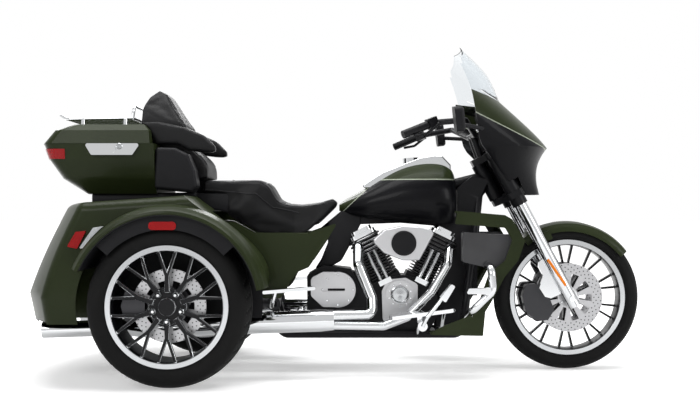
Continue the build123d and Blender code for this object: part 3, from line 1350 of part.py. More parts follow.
def rear_axle():
    """Axle housing with the drive case, swingarm arms, flanges and the stubs that carry the wheels."""
    at = (REAR_AXLE_X, REAR_AXLE_Z)
    end = AXLE_END - RUNNING_GAP
    housing = bar((at[0], -end, at[1]), (at[0], end, at[1]), HOUSING_RADIUS)
    case = bar((at[0], -70, at[1]), (at[0], 70, at[1]), 96)
    stub_end = REAR_WHEEL_Y + REAR_DISC_INSET + AXLE_STUB_DEPTH - FIT
    stub = bar((at[0], -stub_end, at[1]), (at[0], stub_end, at[1]), AXLE_STUB_RADIUS)
    pieces = [case, stub]
    for side in (-1, 1):
        pieces.append(bar((at[0], side * (end - BRACKET_THICKNESS), at[1]), (at[0], side * end, at[1]), AXLE_FLANGE_RADIUS))
        pieces.append(bar((PIVOT_X, side * 152, PIVOT_Z), (at[0], side * 152, at[1]), ARM_RADIUS))
        pieces.append(bar((PIVOT_X, side * 143, PIVOT_Z), (PIVOT_X, side * 169, PIVOT_Z), 30))
        pieces.append(caliper_bracket(side))
    body = housing.fuse(*pieces)
    return body - bar((PIVOT_X, -300, PIVOT_Z), (PIVOT_X, 300, PIVOT_Z), 16)


REAR_CALIPER_OUTLINE = [(-92, 40), (-168, 62), (-186, 0), (-168, -62), (-92, -40)]


def caliper_bracket(side):
    """The plate from an axle flange out to the rear caliper."""
    end = AXLE_END - RUNNING_GAP
    low, high = sorted((side * (end - BRACKET_THICKNESS), side * end))
    points = [(-30, 34), (-150, 50), (-150, -50), (-30, -34)]
    return side_solid([(REAR_AXLE_X + x, REAR_AXLE_Z + z) for x, z in points], low, high, 8)


def rear_caliper(side):
    """A rear caliper behind the axle, astride the disc."""
    middle = REAR_WHEEL_Y + REAR_DISC_INSET - DISC_THICKNESS / 2
    low, high = sorted((side * (AXLE_END - RUNNING_GAP), side * (middle + 26)))
    block = side_solid([(REAR_AXLE_X + x, REAR_AXLE_Z + z) for x, z in REAR_CALIPER_OUTLINE], low, high, 10)
    slot = arch(REAR_DISC_RADIUS + RUNNING_GAP, middle - DISC_THICKNESS / 2 - RUNNING_GAP, middle + DISC_THICKNESS / 2 + RUNNING_GAP, side)
    return largest(block - slot)


def shocks():
    """A spring and damper on each side, from the axle housing up to the rear rail."""
    pieces = []
    for side in (-1, 1):
        y = side * RAIL_Y
        low = REAR_AXLE_Z
        leg = bar((REAR_AXLE_X, y, low), (REAR_AXLE_X, y, RAIL_Z), 15)
        spring = bar((REAR_AXLE_X, y, low + 70), (REAR_AXLE_X, y, RAIL_Z - 50), 27)
        body = leg.fuse(spring)
        body -= bar((REAR_AXLE_X, y - 60, low), (REAR_AXLE_X, y + 60, low), HOUSING_RADIUS)
        body -= bar((PIVOT_X, side * 152, PIVOT_Z), (REAR_AXLE_X, side * 152, low), ARM_RADIUS)
        body -= bar((REAR_AXLE_X - 60, y, RAIL_Z), (REAR_AXLE_X + 60, y, RAIL_Z), FRAME_TUBE)
        pieces.append(largest(body))
    return pieces


def chassis():
    """Everything that stays with the frame."""
    body_frame = frame()
    drums = mufflers()
    tank = fuel_tank()
    guard = engine_guard(body_frame)
    clearance = guard_clearance()
    write("frame", body_frame)
    write("crankcase", crankcase())
    write("cylinders", [cylinder(lean) for lean in (-1, 1)])
    write("rocker_covers", [rocker_cover(lean) for lean in (-1, 1)])
    covers = engine_covers()
    write("engine_covers", covers)
    write("pushrod_tubes", pushrod_tubes(covers[0]))
    write("air_cleaner", air_cleaner())
    write("mufflers", drums)
    write("exhaust_headers", headers(drums))
    write("fuel_tank", tank)
    write("tank_console", tank_console(tank))
    write("seat", seat(tank))
    write("backrest", backrest())
    write("speaker_pods", speaker_pods())
    write("tour_box", tour_box())
    write("box_latch", box_latch())
    write("rear_tub", rear_tub())
    write("rear_fenders", [fender(side) for side in (-1, 1)])
    write("wheel_liners", [wheel_liner(side) for side in (-1, 1)])
    side_pairs = [side_lamps(side) for side in (-1, 1)]
    markers = [arch_marker(side) for side in (-1, 1)]
    write("red_lamps", [pair[0] for pair in side_pairs], markers, box_lamps())
    write("clear_lamps", [pair[1] for pair in side_pairs])
    write("side_panels", [side_panel(side, body_frame) for side in (-1, 1)])
    write("engine_guard", both_sides(guard))
    write("lower_fairings", [lower_fairing(side, clearance) for side in (-1, 1)])
    write("lower_vents", [lower_pocket(side, clearance) for side in (-1, 1)])
    write("oil_cooler", oil_cooler(body_frame))
    write("footrests", floorboards(), passenger_footrests())
    write("foot_controls", foot_controls())
    write("rear_axle", rear_axle())
    write("rear_calipers", [rear_caliper(side) for side in (-1, 1)])
    write("shocks", shocks())


def opening_parts():
    """The top box's lid with its rack, and the trunk's door."""
    write("box_lid", box_lid())
    write("luggage_rack", luggage_rack())
    write("trunk_door", trunk_door())


if __name__ == "__main__":
    os.makedirs("parts", exist_ok=True)
    wheels()
    steering()
    chassis()
    opening_parts()
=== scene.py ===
# %% [markdown]
# # A touring trike, dressed over its CAD frame
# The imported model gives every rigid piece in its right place. This script lights it, gives each surface its
# finish, and adds what a CAD file is poor at: tread, cushions, stitching, perforations, bolts and lamps.

# %% The frame and the box it fills
import bpy
import bmesh
import json
import math
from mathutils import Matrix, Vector
from mathutils.bvhtree import BVHTree

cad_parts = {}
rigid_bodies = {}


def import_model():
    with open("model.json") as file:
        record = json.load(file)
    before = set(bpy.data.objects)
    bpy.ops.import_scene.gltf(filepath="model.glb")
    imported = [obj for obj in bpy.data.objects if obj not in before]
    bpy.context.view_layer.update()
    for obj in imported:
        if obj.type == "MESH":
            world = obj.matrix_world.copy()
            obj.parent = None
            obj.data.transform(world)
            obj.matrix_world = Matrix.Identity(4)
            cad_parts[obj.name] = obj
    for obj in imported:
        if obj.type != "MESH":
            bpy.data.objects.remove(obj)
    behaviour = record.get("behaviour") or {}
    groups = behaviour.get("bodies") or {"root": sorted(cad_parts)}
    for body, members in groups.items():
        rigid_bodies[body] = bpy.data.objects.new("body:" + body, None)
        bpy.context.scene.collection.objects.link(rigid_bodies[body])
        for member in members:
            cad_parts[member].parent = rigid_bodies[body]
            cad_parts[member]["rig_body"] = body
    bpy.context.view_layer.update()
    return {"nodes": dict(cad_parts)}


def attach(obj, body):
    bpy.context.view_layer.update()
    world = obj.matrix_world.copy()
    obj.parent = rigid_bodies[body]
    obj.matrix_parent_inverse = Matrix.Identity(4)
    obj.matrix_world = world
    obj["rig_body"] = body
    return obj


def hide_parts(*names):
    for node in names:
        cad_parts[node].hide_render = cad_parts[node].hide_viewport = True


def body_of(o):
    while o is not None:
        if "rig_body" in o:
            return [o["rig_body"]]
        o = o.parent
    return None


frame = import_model()
nodes = frame["nodes"]

# %% [markdown]
# ## The camera
# The photograph looks square at the right side from about waist height. A long lens a few metres away keeps the
# near wheel only a little larger than the far one, so the camera stands 4.9 m out with a 56.6 mm lens.

# %% Camera
CAMERA_PLACE = (0.0575, -4.9, 0.703)
LENS_MM = 56.6

camera = bpy.data.objects.new("camera", bpy.data.cameras.new("camera"))
bpy.context.scene.collection.objects.link(camera)
camera.location = CAMERA_PLACE
camera.rotation_euler = (math.radians(90), 0, 0)
camera.data.lens = LENS_MM
camera.data.sensor_width = 36
bpy.context.scene.camera = camera
bpy.context.scene.view_settings.view_transform = "Standard"

# %% [markdown]
# ## The studio
# A white floor, which glows more with distance, meets a white world without a line. The world is bright only to
# the camera and to mirrors, and dimmer as a lamp, so that the backdrop is white while the paint keeps its depth.
# Large soft lamps draw the long highlights.


# %% World, floor and lamps
def link(tree, source, output, target, entry):
    """Joins an output of one node to an input of another."""
    tree.links.new(source.outputs[output], target.inputs[entry])


def seen_directly(tree):
    """A value of 1 for camera, mirror and glass rays, and 0 for the light that falls on things."""
    path = tree.nodes.new("ShaderNodeLightPath")
    total = None
    for name in ("Is Camera Ray", "Is Glossy Ray", "Is Transmission Ray"):
        if total is None:
            total = path.outputs[name]
            continue
        add = tree.nodes.new("ShaderNodeMath")
        add.operation = "MAXIMUM"
        tree.links.new(total, add.inputs[0])
        tree.links.new(path.outputs[name], add.inputs[1])
        total = add.outputs[0]
    return total


WORLD_LIGHT = 0.3
world = bpy.data.worlds.new("studio")
bpy.context.scene.world = world
world.use_nodes = True
tree = world.node_tree
tree.nodes.clear()
seen = seen_directly(tree)
lit = tree.nodes.new("ShaderNodeBackground")
lit.inputs["Color"].default_value = (1, 1, 1, 1)
lit.inputs["Strength"].default_value = WORLD_LIGHT
white = tree.nodes.new("ShaderNodeBackground")
white.inputs["Color"].default_value = (1, 1, 1, 1)
white.inputs["Strength"].default_value = 1.0
mix = tree.nodes.new("ShaderNodeMixShader")
tree.links.new(seen, mix.inputs[0])
link(tree, lit, 0, mix, 1)
link(tree, white, 0, mix, 2)
world_out = tree.nodes.new("ShaderNodeOutputWorld")
link(tree, mix, 0, world_out, 0)

FLOOR_HALF = 60
GLOW_NEAR = 0.42
GLOW_FAR = 1.0
NEAR_RADIUS = 1.5
FAR_RADIUS = 3.4
floor_mesh = bpy.data.meshes.new("floor")
corners = [(x * FLOOR_HALF, y * FLOOR_HALF, 0) for x, y in ((-1, -1), (1, -1), (1, 1), (-1, 1))]
floor_mesh.from_pydata(corners, [], [(0, 1, 2, 3)])
floor = bpy.data.objects.new("floor", floor_mesh)
bpy.context.scene.collection.objects.link(floor)
floor_paint = bpy.data.materials.new("floor")
floor_paint.use_nodes = True
tree = floor_paint.node_tree
tree.nodes.clear()
seen = seen_directly(tree)
matte = tree.nodes.new("ShaderNodeBsdfDiffuse")
matte.inputs["Color"].default_value = (0.86, 0.86, 0.86, 1)
glow = tree.nodes.new("ShaderNodeEmission")
glow.inputs["Color"].default_value = (1, 1, 1, 1)
spot_on_floor = tree.nodes.new("ShaderNodeTexCoord")
distance = tree.nodes.new("ShaderNodeVectorMath")
distance.operation = "LENGTH"
tree.links.new(spot_on_floor.outputs["Object"], distance.inputs[0])
fade = tree.nodes.new("ShaderNodeMapRange")
fade.inputs["From Min"].default_value = NEAR_RADIUS
fade.inputs["From Max"].default_value = FAR_RADIUS
fade.inputs["To Min"].default_value = GLOW_NEAR
fade.inputs["To Max"].default_value = GLOW_FAR
tree.links.new(distance.outputs["Value"], fade.inputs["Value"])
tree.links.new(fade.outputs["Result"], glow.inputs["Strength"])
both = tree.nodes.new("ShaderNodeAddShader")
mix = tree.nodes.new("ShaderNodeMixShader")
link(tree, matte, 0, both, 0)
link(tree, glow, 0, both, 1)
tree.links.new(seen, mix.inputs[0])
link(tree, matte, 0, mix, 1)
link(tree, both, 0, mix, 2)
out = tree.nodes.new("ShaderNodeOutputMaterial")
link(tree, mix, 0, out, 0)
floor_mesh.materials.append(floor_paint)

LAMPS = (
    # name, place, aim, width, height, watts
    ("overhead", (0.0, -0.3, 4.2), (0.0, 0.0, 0.5), 5.0, 2.2, 210),
    ("key", (-2.6, -4.6, 3.0), (0.0, 0.0, 0.6), 2.6, 1.6, 90),
    ("front_fill", (4.6, -2.6, 2.0), (0.6, 0.0, 0.5), 1.6, 2.2, 70),
    ("back", (-1.5, 4.4, 2.8), (-0.2, 0.0, 0.6), 3.4, 1.4, 90),
)
for name, place, aim, width, height, watts in LAMPS:
    data = bpy.data.lights.new(name, "AREA")
    data.shape = "RECTANGLE"
    data.size = width
    data.size_y = height
    data.energy = watts
    lamp = bpy.data.objects.new(name, data)
    bpy.context.scene.collection.objects.link(lamp)
    lamp.location = place
    lamp.rotation_euler = (Vector(aim) - Vector(place)).to_track_quat("-Z", "Y").to_euler()
print("lamps", len(LAMPS))

# %% [markdown]
# ## Finishes
# Every finish is a small node tree on Object coordinates, which are metres here, so a grain of 2 mm is a grain of
# 2 mm on every piece. Values that are the same all over a surface sit on the shader's own sockets.


# %% A helper for finishes
def finish(name, color, roughness, metallic=0.0, coat=0.0, specular=0.5):
    """A material with its shader's plain values set. Returns the material, its tree and the shader."""
    material = bpy.data.materials.new(name)
    material.use_nodes = True
    tree = material.node_tree
    shader = tree.nodes["Principled BSDF"]
    shader.inputs["Base Color"].default_value = (*color, 1)
    shader.inputs["Roughness"].default_value = roughness
    shader.inputs["Metallic"].default_value = metallic
    shader.inputs["Coat Weight"].default_value = coat
    shader.inputs["Coat Roughness"].default_value = 0.04
    shader.inputs["Specular IOR Level"].default_value = specular
    return material, tree, shader


def noise(tree, scale, detail=2.0):
    """A noise texture on Object coordinates. The scale is in cycles per metre."""
    place = tree.nodes.new("ShaderNodeTexCoord")
    texture = tree.nodes.new("ShaderNodeTexNoise")
    texture.inputs["Scale"].default_value = scale
    texture.inputs["Detail"].default_value = detail
    tree.links.new(place.outputs["Object"], texture.inputs["Vector"])
    return texture


def ramp(tree, source, stops):
    """A colour ramp from (position, colour) stops."""
    node = tree.nodes.new("ShaderNodeValToRGB")
    elements = node.color_ramp.elements
    while len(elements) > 1:
        elements.remove(elements[-1])
    elements[0].position = stops[0][0]
    elements[0].color = (*stops[0][1], 1)
    for position, color in stops[1:]:
        stop = elements.new(position)
        stop.color = (*color, 1)
    tree.links.new(source, node.inputs["Fac"])
    return node.outputs["Color"]


def bump(tree, shader, height, strength, distance):
    """A bump from a height, into a shader's normal."""
    node = tree.nodes.new("ShaderNodeBump")
    node.inputs["Strength"].default_value = strength
    node.inputs["Distance"].default_value = distance
    tree.links.new(height, node.inputs["Height"])
    tree.links.new(node.outputs["Normal"], shader.inputs["Normal"])


def roughness_noise(tree, shader, scale, low, high):
    """Roughness that wanders between two values."""
    texture = noise(tree, scale, 3)
    spread = tree.nodes.new("ShaderNodeMapRange")
    spread.inputs["To Min"].default_value = low
    spread.inputs["To Max"].default_value = high
    tree.links.new(texture.outputs["Fac"], spread.inputs["Value"])
    tree.links.new(spread.outputs["Result"], shader.inputs["Roughness"])


def by_mask(tree, shader, mask, inside, outside):
    """Two finishes on one shader. Each is (colour, metallic, roughness), and the mask is 1 for the first."""
    for entry, low, high in (("Metallic", outside[1], inside[1]), ("Roughness", outside[2], inside[2])):
        spread = tree.nodes.new("ShaderNodeMapRange")
        spread.inputs["To Min"].default_value = low
        spread.inputs["To Max"].default_value = high
        tree.links.new(mask, spread.inputs["Value"])
        tree.links.new(spread.outputs["Result"], shader.inputs[entry])
    color = ramp(tree, mask, ((0.0, outside[0]), (1.0, inside[0])))
    tree.links.new(color, shader.inputs["Base Color"])


def math_node(tree, operation, *values):
    """One Math node. A value is a number or another node's output."""
    node = tree.nodes.new("ShaderNodeMath")
    node.operation = operation
    for entry, value in zip(node.inputs, values):
        if isinstance(value, (int, float)):
            entry.default_value = value
        else:
            tree.links.new(value, entry)
    return node.outputs[0]


def step(tree, value, edge, width=0.0006):
    """0 below an edge and 1 above it, with a soft border so that it doesn't look cut out."""
    node = tree.nodes.new("ShaderNodeMapRange")
    node.interpolation_type = "SMOOTHSTEP"
    node.inputs["From Min"].default_value = edge - width
    node.inputs["From Max"].default_value = edge + width
    tree.links.new(value, node.inputs["Value"])
    return node.outputs["Result"]


def coordinates(tree):
    """The three Object coordinates of the point that is shaded."""
    place = tree.nodes.new("ShaderNodeTexCoord")
    split = tree.nodes.new("ShaderNodeSeparateXYZ")
    tree.links.new(place.outputs["Object"], split.inputs[0])
    return split.outputs[0], split.outputs[1], split.outputs[2]


def from_axle(tree, axle_x, axle_z):
    """Distance from a wheel's axle, which runs along Y."""
    x, y, z = coordinates(tree)
    across = math_node(tree, "SUBTRACT", x, axle_x)
    up = math_node(tree, "SUBTRACT", z, axle_z)
    across_squared = math_node(tree, "MULTIPLY", across, across)
    up_squared = math_node(tree, "MULTIPLY", up, up)
    return math_node(tree, "SQRT", math_node(tree, "ADD", across_squared, up_squared))


# %% [markdown]
# ## Paint in two colours
# The real body is a dark olive metallic that looks nearly black in shade and pale along its crests. The tank and
# the fairing are green above and black below, with a thin pale line between. A mask from a straight line in
# Object coordinates paints both colours on one shader, so that no second shell is needed.

# %% Paints
GREEN = (0.016, 0.022, 0.0075)
GREEN_DEEP = (0.012, 0.017, 0.0052)
GREEN_FLAKE = (0.027, 0.035, 0.014)
BLACK = (0.004, 0.004, 0.005)
PALE_LINE = (0.30, 0.33, 0.26)
LINE_HALF = 0.0022
# The tank's line is level at the first height. Behind, it slopes, and would reach the foot where X is 0.
TANK_LEVEL = 0.836
TANK_SLOPE = 0.95
TANK_FOOT = 0.671
# The fairing's line falls forward at this slope, from this height where X is 0.
FAIRING_SLOPE = -0.42
FAIRING_HEIGHT = 1.3486


def flaked(tree):
    """The green of the paint, with flakes finer than a millimetre and a slow drift over the panel."""
    flakes = noise(tree, 1400, 1)
    drift = noise(tree, 3, 1)
    fine = math_node(tree, "MULTIPLY", flakes.outputs["Fac"], 0.65)
    both = math_node(tree, "MULTIPLY_ADD", drift.outputs["Fac"], 0.35, fine)
    return ramp(tree, both, ((0.36, GREEN_DEEP), (0.50, GREEN), (0.66, GREEN_FLAKE)))


def green_finish(name):
    """Dark green flakes under a clear coat."""
    material, tree, shader = finish(name, GREEN, 0.36, coat=0.05, specular=0.08)
    tree.links.new(flaked(tree), shader.inputs["Base Color"])
    return material


def two_tone(name, height_of_line):
    """Green above a line in X and Z and black below it, with a pale line between."""
    material, tree, shader = finish(name, GREEN, 0.32, coat=0.04, specular=0.06)
    x, y, z = coordinates(tree)
    above = height_of_line(tree, x, z)
    green_part = step(tree, above, 0.0)
    line = math_node(tree, "SUBTRACT", step(tree, above, -LINE_HALF), step(tree, above, LINE_HALF))
    lower = tree.nodes.new("ShaderNodeMix")
    lower.data_type = "RGBA"
    lower.inputs["A"].default_value = (*BLACK, 1)
    tree.links.new(green_part, lower.inputs["Factor"])
    tree.links.new(flaked(tree), lower.inputs["B"])
    lined = tree.nodes.new("ShaderNodeMix")
    lined.data_type = "RGBA"
    lined.inputs["B"].default_value = (*PALE_LINE, 1)
    tree.links.new(line, lined.inputs["Factor"])
    tree.links.new(lower.outputs["Result"], lined.inputs["A"])
    tree.links.new(lined.outputs["Result"], shader.inputs["Base Color"])
    return material


def tank_line(tree, x, z):
    """The tank's black side runs level under the cap and drops to the seat behind."""
    level = math_node(tree, "SUBTRACT", z, TANK_LEVEL)
    slope = math_node(tree, "SUBTRACT", z, math_node(tree, "MULTIPLY_ADD", x, TANK_SLOPE, TANK_FOOT))
    return math_node(tree, "MAXIMUM", level, slope)


def fairing_line(tree, x, z):
    """The fairing's green band ends along a line that falls towards the nose."""
    return math_node(tree, "SUBTRACT", z, math_node(tree, "MULTIPLY_ADD", x, FAIRING_SLOPE, FAIRING_HEIGHT))


green_paint = green_finish("green_paint")
tank_paint = two_tone("tank_paint", tank_line)
fairing_paint = two_tone("fairing_paint", fairing_line)
black_gloss = finish("black_gloss", BLACK, 0.25, coat=0.05, specular=0.06)[0]
print("paints", 4)

# %% [markdown]
# ## Metal, rubber, plastic and glass
# Polished parts differ in how sharp their reflections are, so each metal has its own roughness, and the value
# wanders a little over the surface as real plating does. The moulded blacks carry a fine grain as a bump.


# %% Metals and plastics
def grained(name, color, roughness=0.55, scale=700, depth=0.0006, specular=0.12):
    """Moulded plastic, rubber or powder coat with a fine grain."""
    material, tree, shader = finish(name, color, roughness, specular=specular)
    grain = noise(tree, scale, 2)
    bump(tree, shader, grain.outputs["Fac"], 0.15, depth)
    shade = ramp(tree, noise(tree, 9, 2).outputs["Fac"], ((0.3, color), (0.75, tuple(1.35 * c for c in color))))
    tree.links.new(shade, shader.inputs["Base Color"])
    return material


def bright_metal(name, color, roughness, streak=0.02):
    """Polished or satin metal whose gloss wanders a little."""
    material, tree, shader = finish(name, color, roughness, metallic=1.0)
    roughness_noise(tree, shader, 14, roughness, roughness + streak)
    return material


chrome = bright_metal("chrome", (0.56, 0.57, 0.58), 0.07, 0.03)
polished = bright_metal("polished", (0.38, 0.39, 0.40), 0.14, 0.05)
satin_alloy = bright_metal("satin_alloy", (0.42, 0.42, 0.43), 0.3, 0.08)
dark_metal = bright_metal("dark_metal", (0.045, 0.045, 0.048), 0.4, 0.1)
disc_steel = bright_metal("disc_steel", (0.40, 0.40, 0.41), 0.3, 0.08)
black_metal = grained("black_metal", (0.006, 0.006, 0.007), 0.36)
engine_black = grained("engine_black", (0.008, 0.008, 0.009), 0.5, 350)
rubber = grained("rubber", (0.007, 0.007, 0.007), 0.7, 500, 0.0004, 0.08)
black_plastic = grained("black_plastic", (0.007, 0.007, 0.008), 0.5)
grey_plastic = grained("grey_plastic", (0.05, 0.05, 0.052), 0.42)
# A near-black matte for the plugs in the drilled disc holes: painted shade where the holes are open.
painted_hole_shade = grained("painted_hole_shade", (0.004, 0.004, 0.004), 0.8)
pale_mark = finish("pale_mark", (0.7, 0.7, 0.68), 0.5)[0]
print("metals and plastics", 12)

# %% [markdown]
# ## Lenses and the windscreen
# Moulded lenses have upright ribs behind a smooth face. The windscreen is clear glass above and smoked below, and
# one soft step in height tints it.


# %% Lenses and the windscreen
SCREEN_TINT_TOP = 1.175
SCREEN_TINT_BLEND = 0.03


def ribbed_lens(name, color, transmission=0.0):
    """A moulded lens with fine upright ribs behind its face."""
    material, tree, shader = finish(name, color, 0.16, coat=0.05, specular=0.14)
    shader.inputs["Transmission Weight"].default_value = transmission
    place = tree.nodes.new("ShaderNodeTexCoord")
    wave = tree.nodes.new("ShaderNodeTexWave")
    wave.inputs["Scale"].default_value = 60
    tree.links.new(place.outputs["Object"], wave.inputs["Vector"])
    bump(tree, shader, wave.outputs["Fac"], 0.35, 0.001)
    return material


red_lens = ribbed_lens("red_lens", (0.30, 0.004, 0.005))
amber_lens = ribbed_lens("amber_lens", (0.85, 0.22, 0.01))
clear_lens = ribbed_lens("clear_lens", (0.8, 0.82, 0.84), 0.35)
screen_clear, tree, shader = finish("screen_clear", (0.80, 0.84, 0.86), 0.03)
shader.inputs["Transmission Weight"].default_value = 1.0
shader.inputs["IOR"].default_value = 1.12
x, y, z = coordinates(tree)
smoked_to_clear = step(tree, z, SCREEN_TINT_TOP, SCREEN_TINT_BLEND)
tint = ramp(tree, smoked_to_clear, ((0.0, (0.10, 0.11, 0.12)), (1.0, (0.84, 0.87, 0.89))))
tree.links.new(tint, shader.inputs["Base Color"])
print("lenses", 4)

# %% [markdown]
# ## Leather
# The seat's cover has a pebbled grain from a cell pattern, and its gloss wanders as worn leather's does. The
# piping is a shade lighter and smoother.

# %% Leather for the seat
seat_cover, tree, shader = finish("seat_cover", (0.006, 0.006, 0.0065), 0.46, specular=0.14)
place = tree.nodes.new("ShaderNodeTexCoord")
cells = tree.nodes.new("ShaderNodeTexVoronoi")
cells.inputs["Scale"].default_value = 420
tree.links.new(place.outputs["Object"], cells.inputs["Vector"])
bump(tree, shader, cells.outputs["Distance"], 0.22, 0.0008)
roughness_noise(tree, shader, 18, 0.4, 0.56)
piping = grained("piping", (0.012, 0.012, 0.013), 0.4)
print("leather", seat_cover.name)

# %% [markdown]
# ## Wheels in two finishes
# Both kinds of rim are black with a bright machined band at the edge. The band is a ring about the axle, so the
# mask is the distance from the axle.

# %% Wheel finishes
# Both axles are given in X and Z. The rear wheels' middles lie at plus and minus REAR_WHEEL_Y.
FRONT_AXLE = (1.0157, 0.3193)
REAR_AXLE = (-0.6543, 0.3254)
REAR_WHEEL_Y = 0.537


def banded_rim(name, axle, band_radius):
    """Black inside a radius and bright metal outside it."""
    material, tree, shader = finish(name, BLACK, 0.3, specular=0.15)
    band = step(tree, from_axle(tree, *axle), band_radius, 0.0005)
    by_mask(tree, shader, band, ((0.42, 0.43, 0.44), 1.0, 0.16), ((0.006, 0.006, 0.007), 0.0, 0.3))
    return material


front_wheel_black = banded_rim("front_wheel_black", FRONT_AXLE, 0.2335)
rear_wheel_black = banded_rim("rear_wheel_black", REAR_AXLE, 0.2205)
print("rims", front_wheel_black.name, rear_wheel_black.name)

# %% [markdown]
# ## Smooth skins
# A CAD node is a bag of loose flat triangles. A copy of it is merged, its soft edges are shaded smooth and its
# hard ones stay crisp. Rims and fins also get a fine chamfer, whose faces take a second, machined finish.

# %% The skin of a node
SMOOTH_ANGLE = math.radians(34)


def merged_mesh(node, flatten=False):
    """A copy of a node's mesh with its loose triangles joined."""
    mesh = nodes[node].data.copy()
    work = bmesh.new()
    work.from_mesh(mesh)
    bmesh.ops.remove_doubles(work, verts=work.verts, dist=2e-5)
    if flatten:
        bmesh.ops.dissolve_limit(work, angle_limit=math.radians(1.5), verts=work.verts, edges=work.edges)
    work.to_mesh(mesh)
    work.free()
    for attribute in [a for a in mesh.attributes if a.name == "custom_normal"]:
        mesh.attributes.remove(attribute)
    mesh.shade_smooth()
    mesh.set_sharp_from_angle(angle=SMOOTH_ANGLE)
    return mesh


def new_piece(name, mesh, body, *materials):
    """An object at the origin that rides on a body."""
    piece = bpy.data.objects.new(name, mesh)
    bpy.context.scene.collection.objects.link(piece)
    mesh.materials.clear()
    for material in materials:
        mesh.materials.append(material)
    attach(piece, body)
    return piece


def skin(node, *materials, chamfer=0.0):
    """A smooth copy that stands for a node, with a chamfer in its second material if asked."""
    piece = new_piece(f"{node}_skin", merged_mesh(node, chamfer > 0), body_of(nodes[node])[0], *materials)
    if chamfer:
        bevel = piece.modifiers.new("chamfer", "BEVEL")
        bevel.width = chamfer
        bevel.segments = 1
        bevel.limit_method = "ANGLE"
        bevel.angle_limit = math.radians(50)
        bevel.material = 1
        bevel.use_clamp_overlap = False
    weighted = piece.modifiers.new("even_normals", "WEIGHTED_NORMAL")
    weighted.keep_sharp = True
    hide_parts(node)
    return piece


# %% [markdown]
# ## Every rigid node
# One row names a finish and the nodes that wear it. Tyres, seat and backrest are missing here, because they are
# built anew below.

# %% Every rigid node
FINISHES = (
    # finish, nodes
    (green_paint, ("box_lid", "front_fender", "lower_fairings", "rear_fenders", "rear_tub", "side_panels",
                    "tour_box", "trunk_door")),
    (tank_paint, ("fuel_tank",)),
    (fairing_paint, ("outer_fairing",)),
    (chrome, ("box_latch", "engine_guard", "exhaust_headers", "foot_controls", "footrests", "fork_sliders",
               "front_axle", "luggage_rack", "mufflers", "pushrod_tubes", "rocker_covers", "tank_console")),
    (satin_alloy, ("air_cleaner", "engine_covers")),
    (dark_metal, ("front_calipers", "rear_calipers", "rear_axle")),
    (black_metal, ("fork", "fork_covers", "frame", "handlebar", "oil_cooler", "shocks")),
    (engine_black, ("crankcase",)),
    (disc_steel, ("front_brake_discs", "rear_brake_disc_left", "rear_brake_disc_right")),
    (black_plastic, ("inner_fairing", "speaker_pods", "wheel_liners", "mirrors")),
    (black_gloss, ("headlamp",)),
    (grey_plastic, ("lower_vents",)),
    (red_lens, ("red_lamps",)),
    (clear_lens, ("clear_lamps",)),
    (screen_clear, ("windscreen",)),
)
skins = {}
for coating, members in FINISHES:
    for node in members:
        skins[node] = skin(node, coating)
skins["cylinders"] = skin("cylinders", engine_black, satin_alloy, chamfer=0.0009)
skins["front_rim"] = skin("front_rim", front_wheel_black, polished, chamfer=0.0011)
for side in ("right", "left"):
    skins[f"rear_rim_{side}"] = skin(f"rear_rim_{side}", rear_wheel_black, polished, chamfer=0.0016)
print("skins", len(skins), "faces", sum(len(p.data.polygons) for p in skins.values()))

# %% [markdown]
# ## Tyres
# A tyre is a profile turned about the axle, so the mesh is a grid of rings. The tread is cut in the same grid:
# wherever the pattern says groove, the ring's points are sunk by the depth of the tread. The side wall keeps a
# raised rib, as moulded tyres have.

# %% The tyre's profile and its grooves
AROUND = 288
TREAD_DEPTH = 0.0045
PITCHES = 36


def arc_through(start, middle, end, count):
    """Points on the circle through three points, which are (radius, across) pairs."""
    (ax, ay), (bx, by), (cx, cy) = start, middle, end
    d = 2 * (ax * (by - cy) + bx * (cy - ay) + cx * (ay - by))
    ux = ((ax**2 + ay**2) * (by - cy) + (bx**2 + by**2) * (cy - ay) + (cx**2 + cy**2) * (ay - by)) / d
    uy = ((ax**2 + ay**2) * (cx - bx) + (bx**2 + by**2) * (ax - cx) + (cx**2 + cy**2) * (bx - ax)) / d
    radius = math.hypot(ax - ux, ay - uy)
    a0, a1, a2 = (math.atan2(p[1] - uy, p[0] - ux) for p in (start, middle, end))
    sweep = (a2 - a0) % math.tau
    if (a1 - a0) % math.tau > sweep:
        sweep -= math.tau
    return [(ux + radius * math.cos(a0 + sweep * i / count), uy + radius * math.sin(a0 + sweep * i / count))
            for i in range(count + 1)]


def groove(turn, across):
    """How deep the tread is cut, from 0 to 1, at a share of a turn and a share of the tread's half-width."""
    span = abs(across)
    if span > 0.97:
        return 0.0
    if 0.28 < span < 0.36:
        return 1.0
    phase = (turn * PITCHES + 0.55 * span + (0.5 if across > 0 else 0.0)) % 1.0
    return 1.0 if phase < 0.2 and span > 0.42 else 0.0


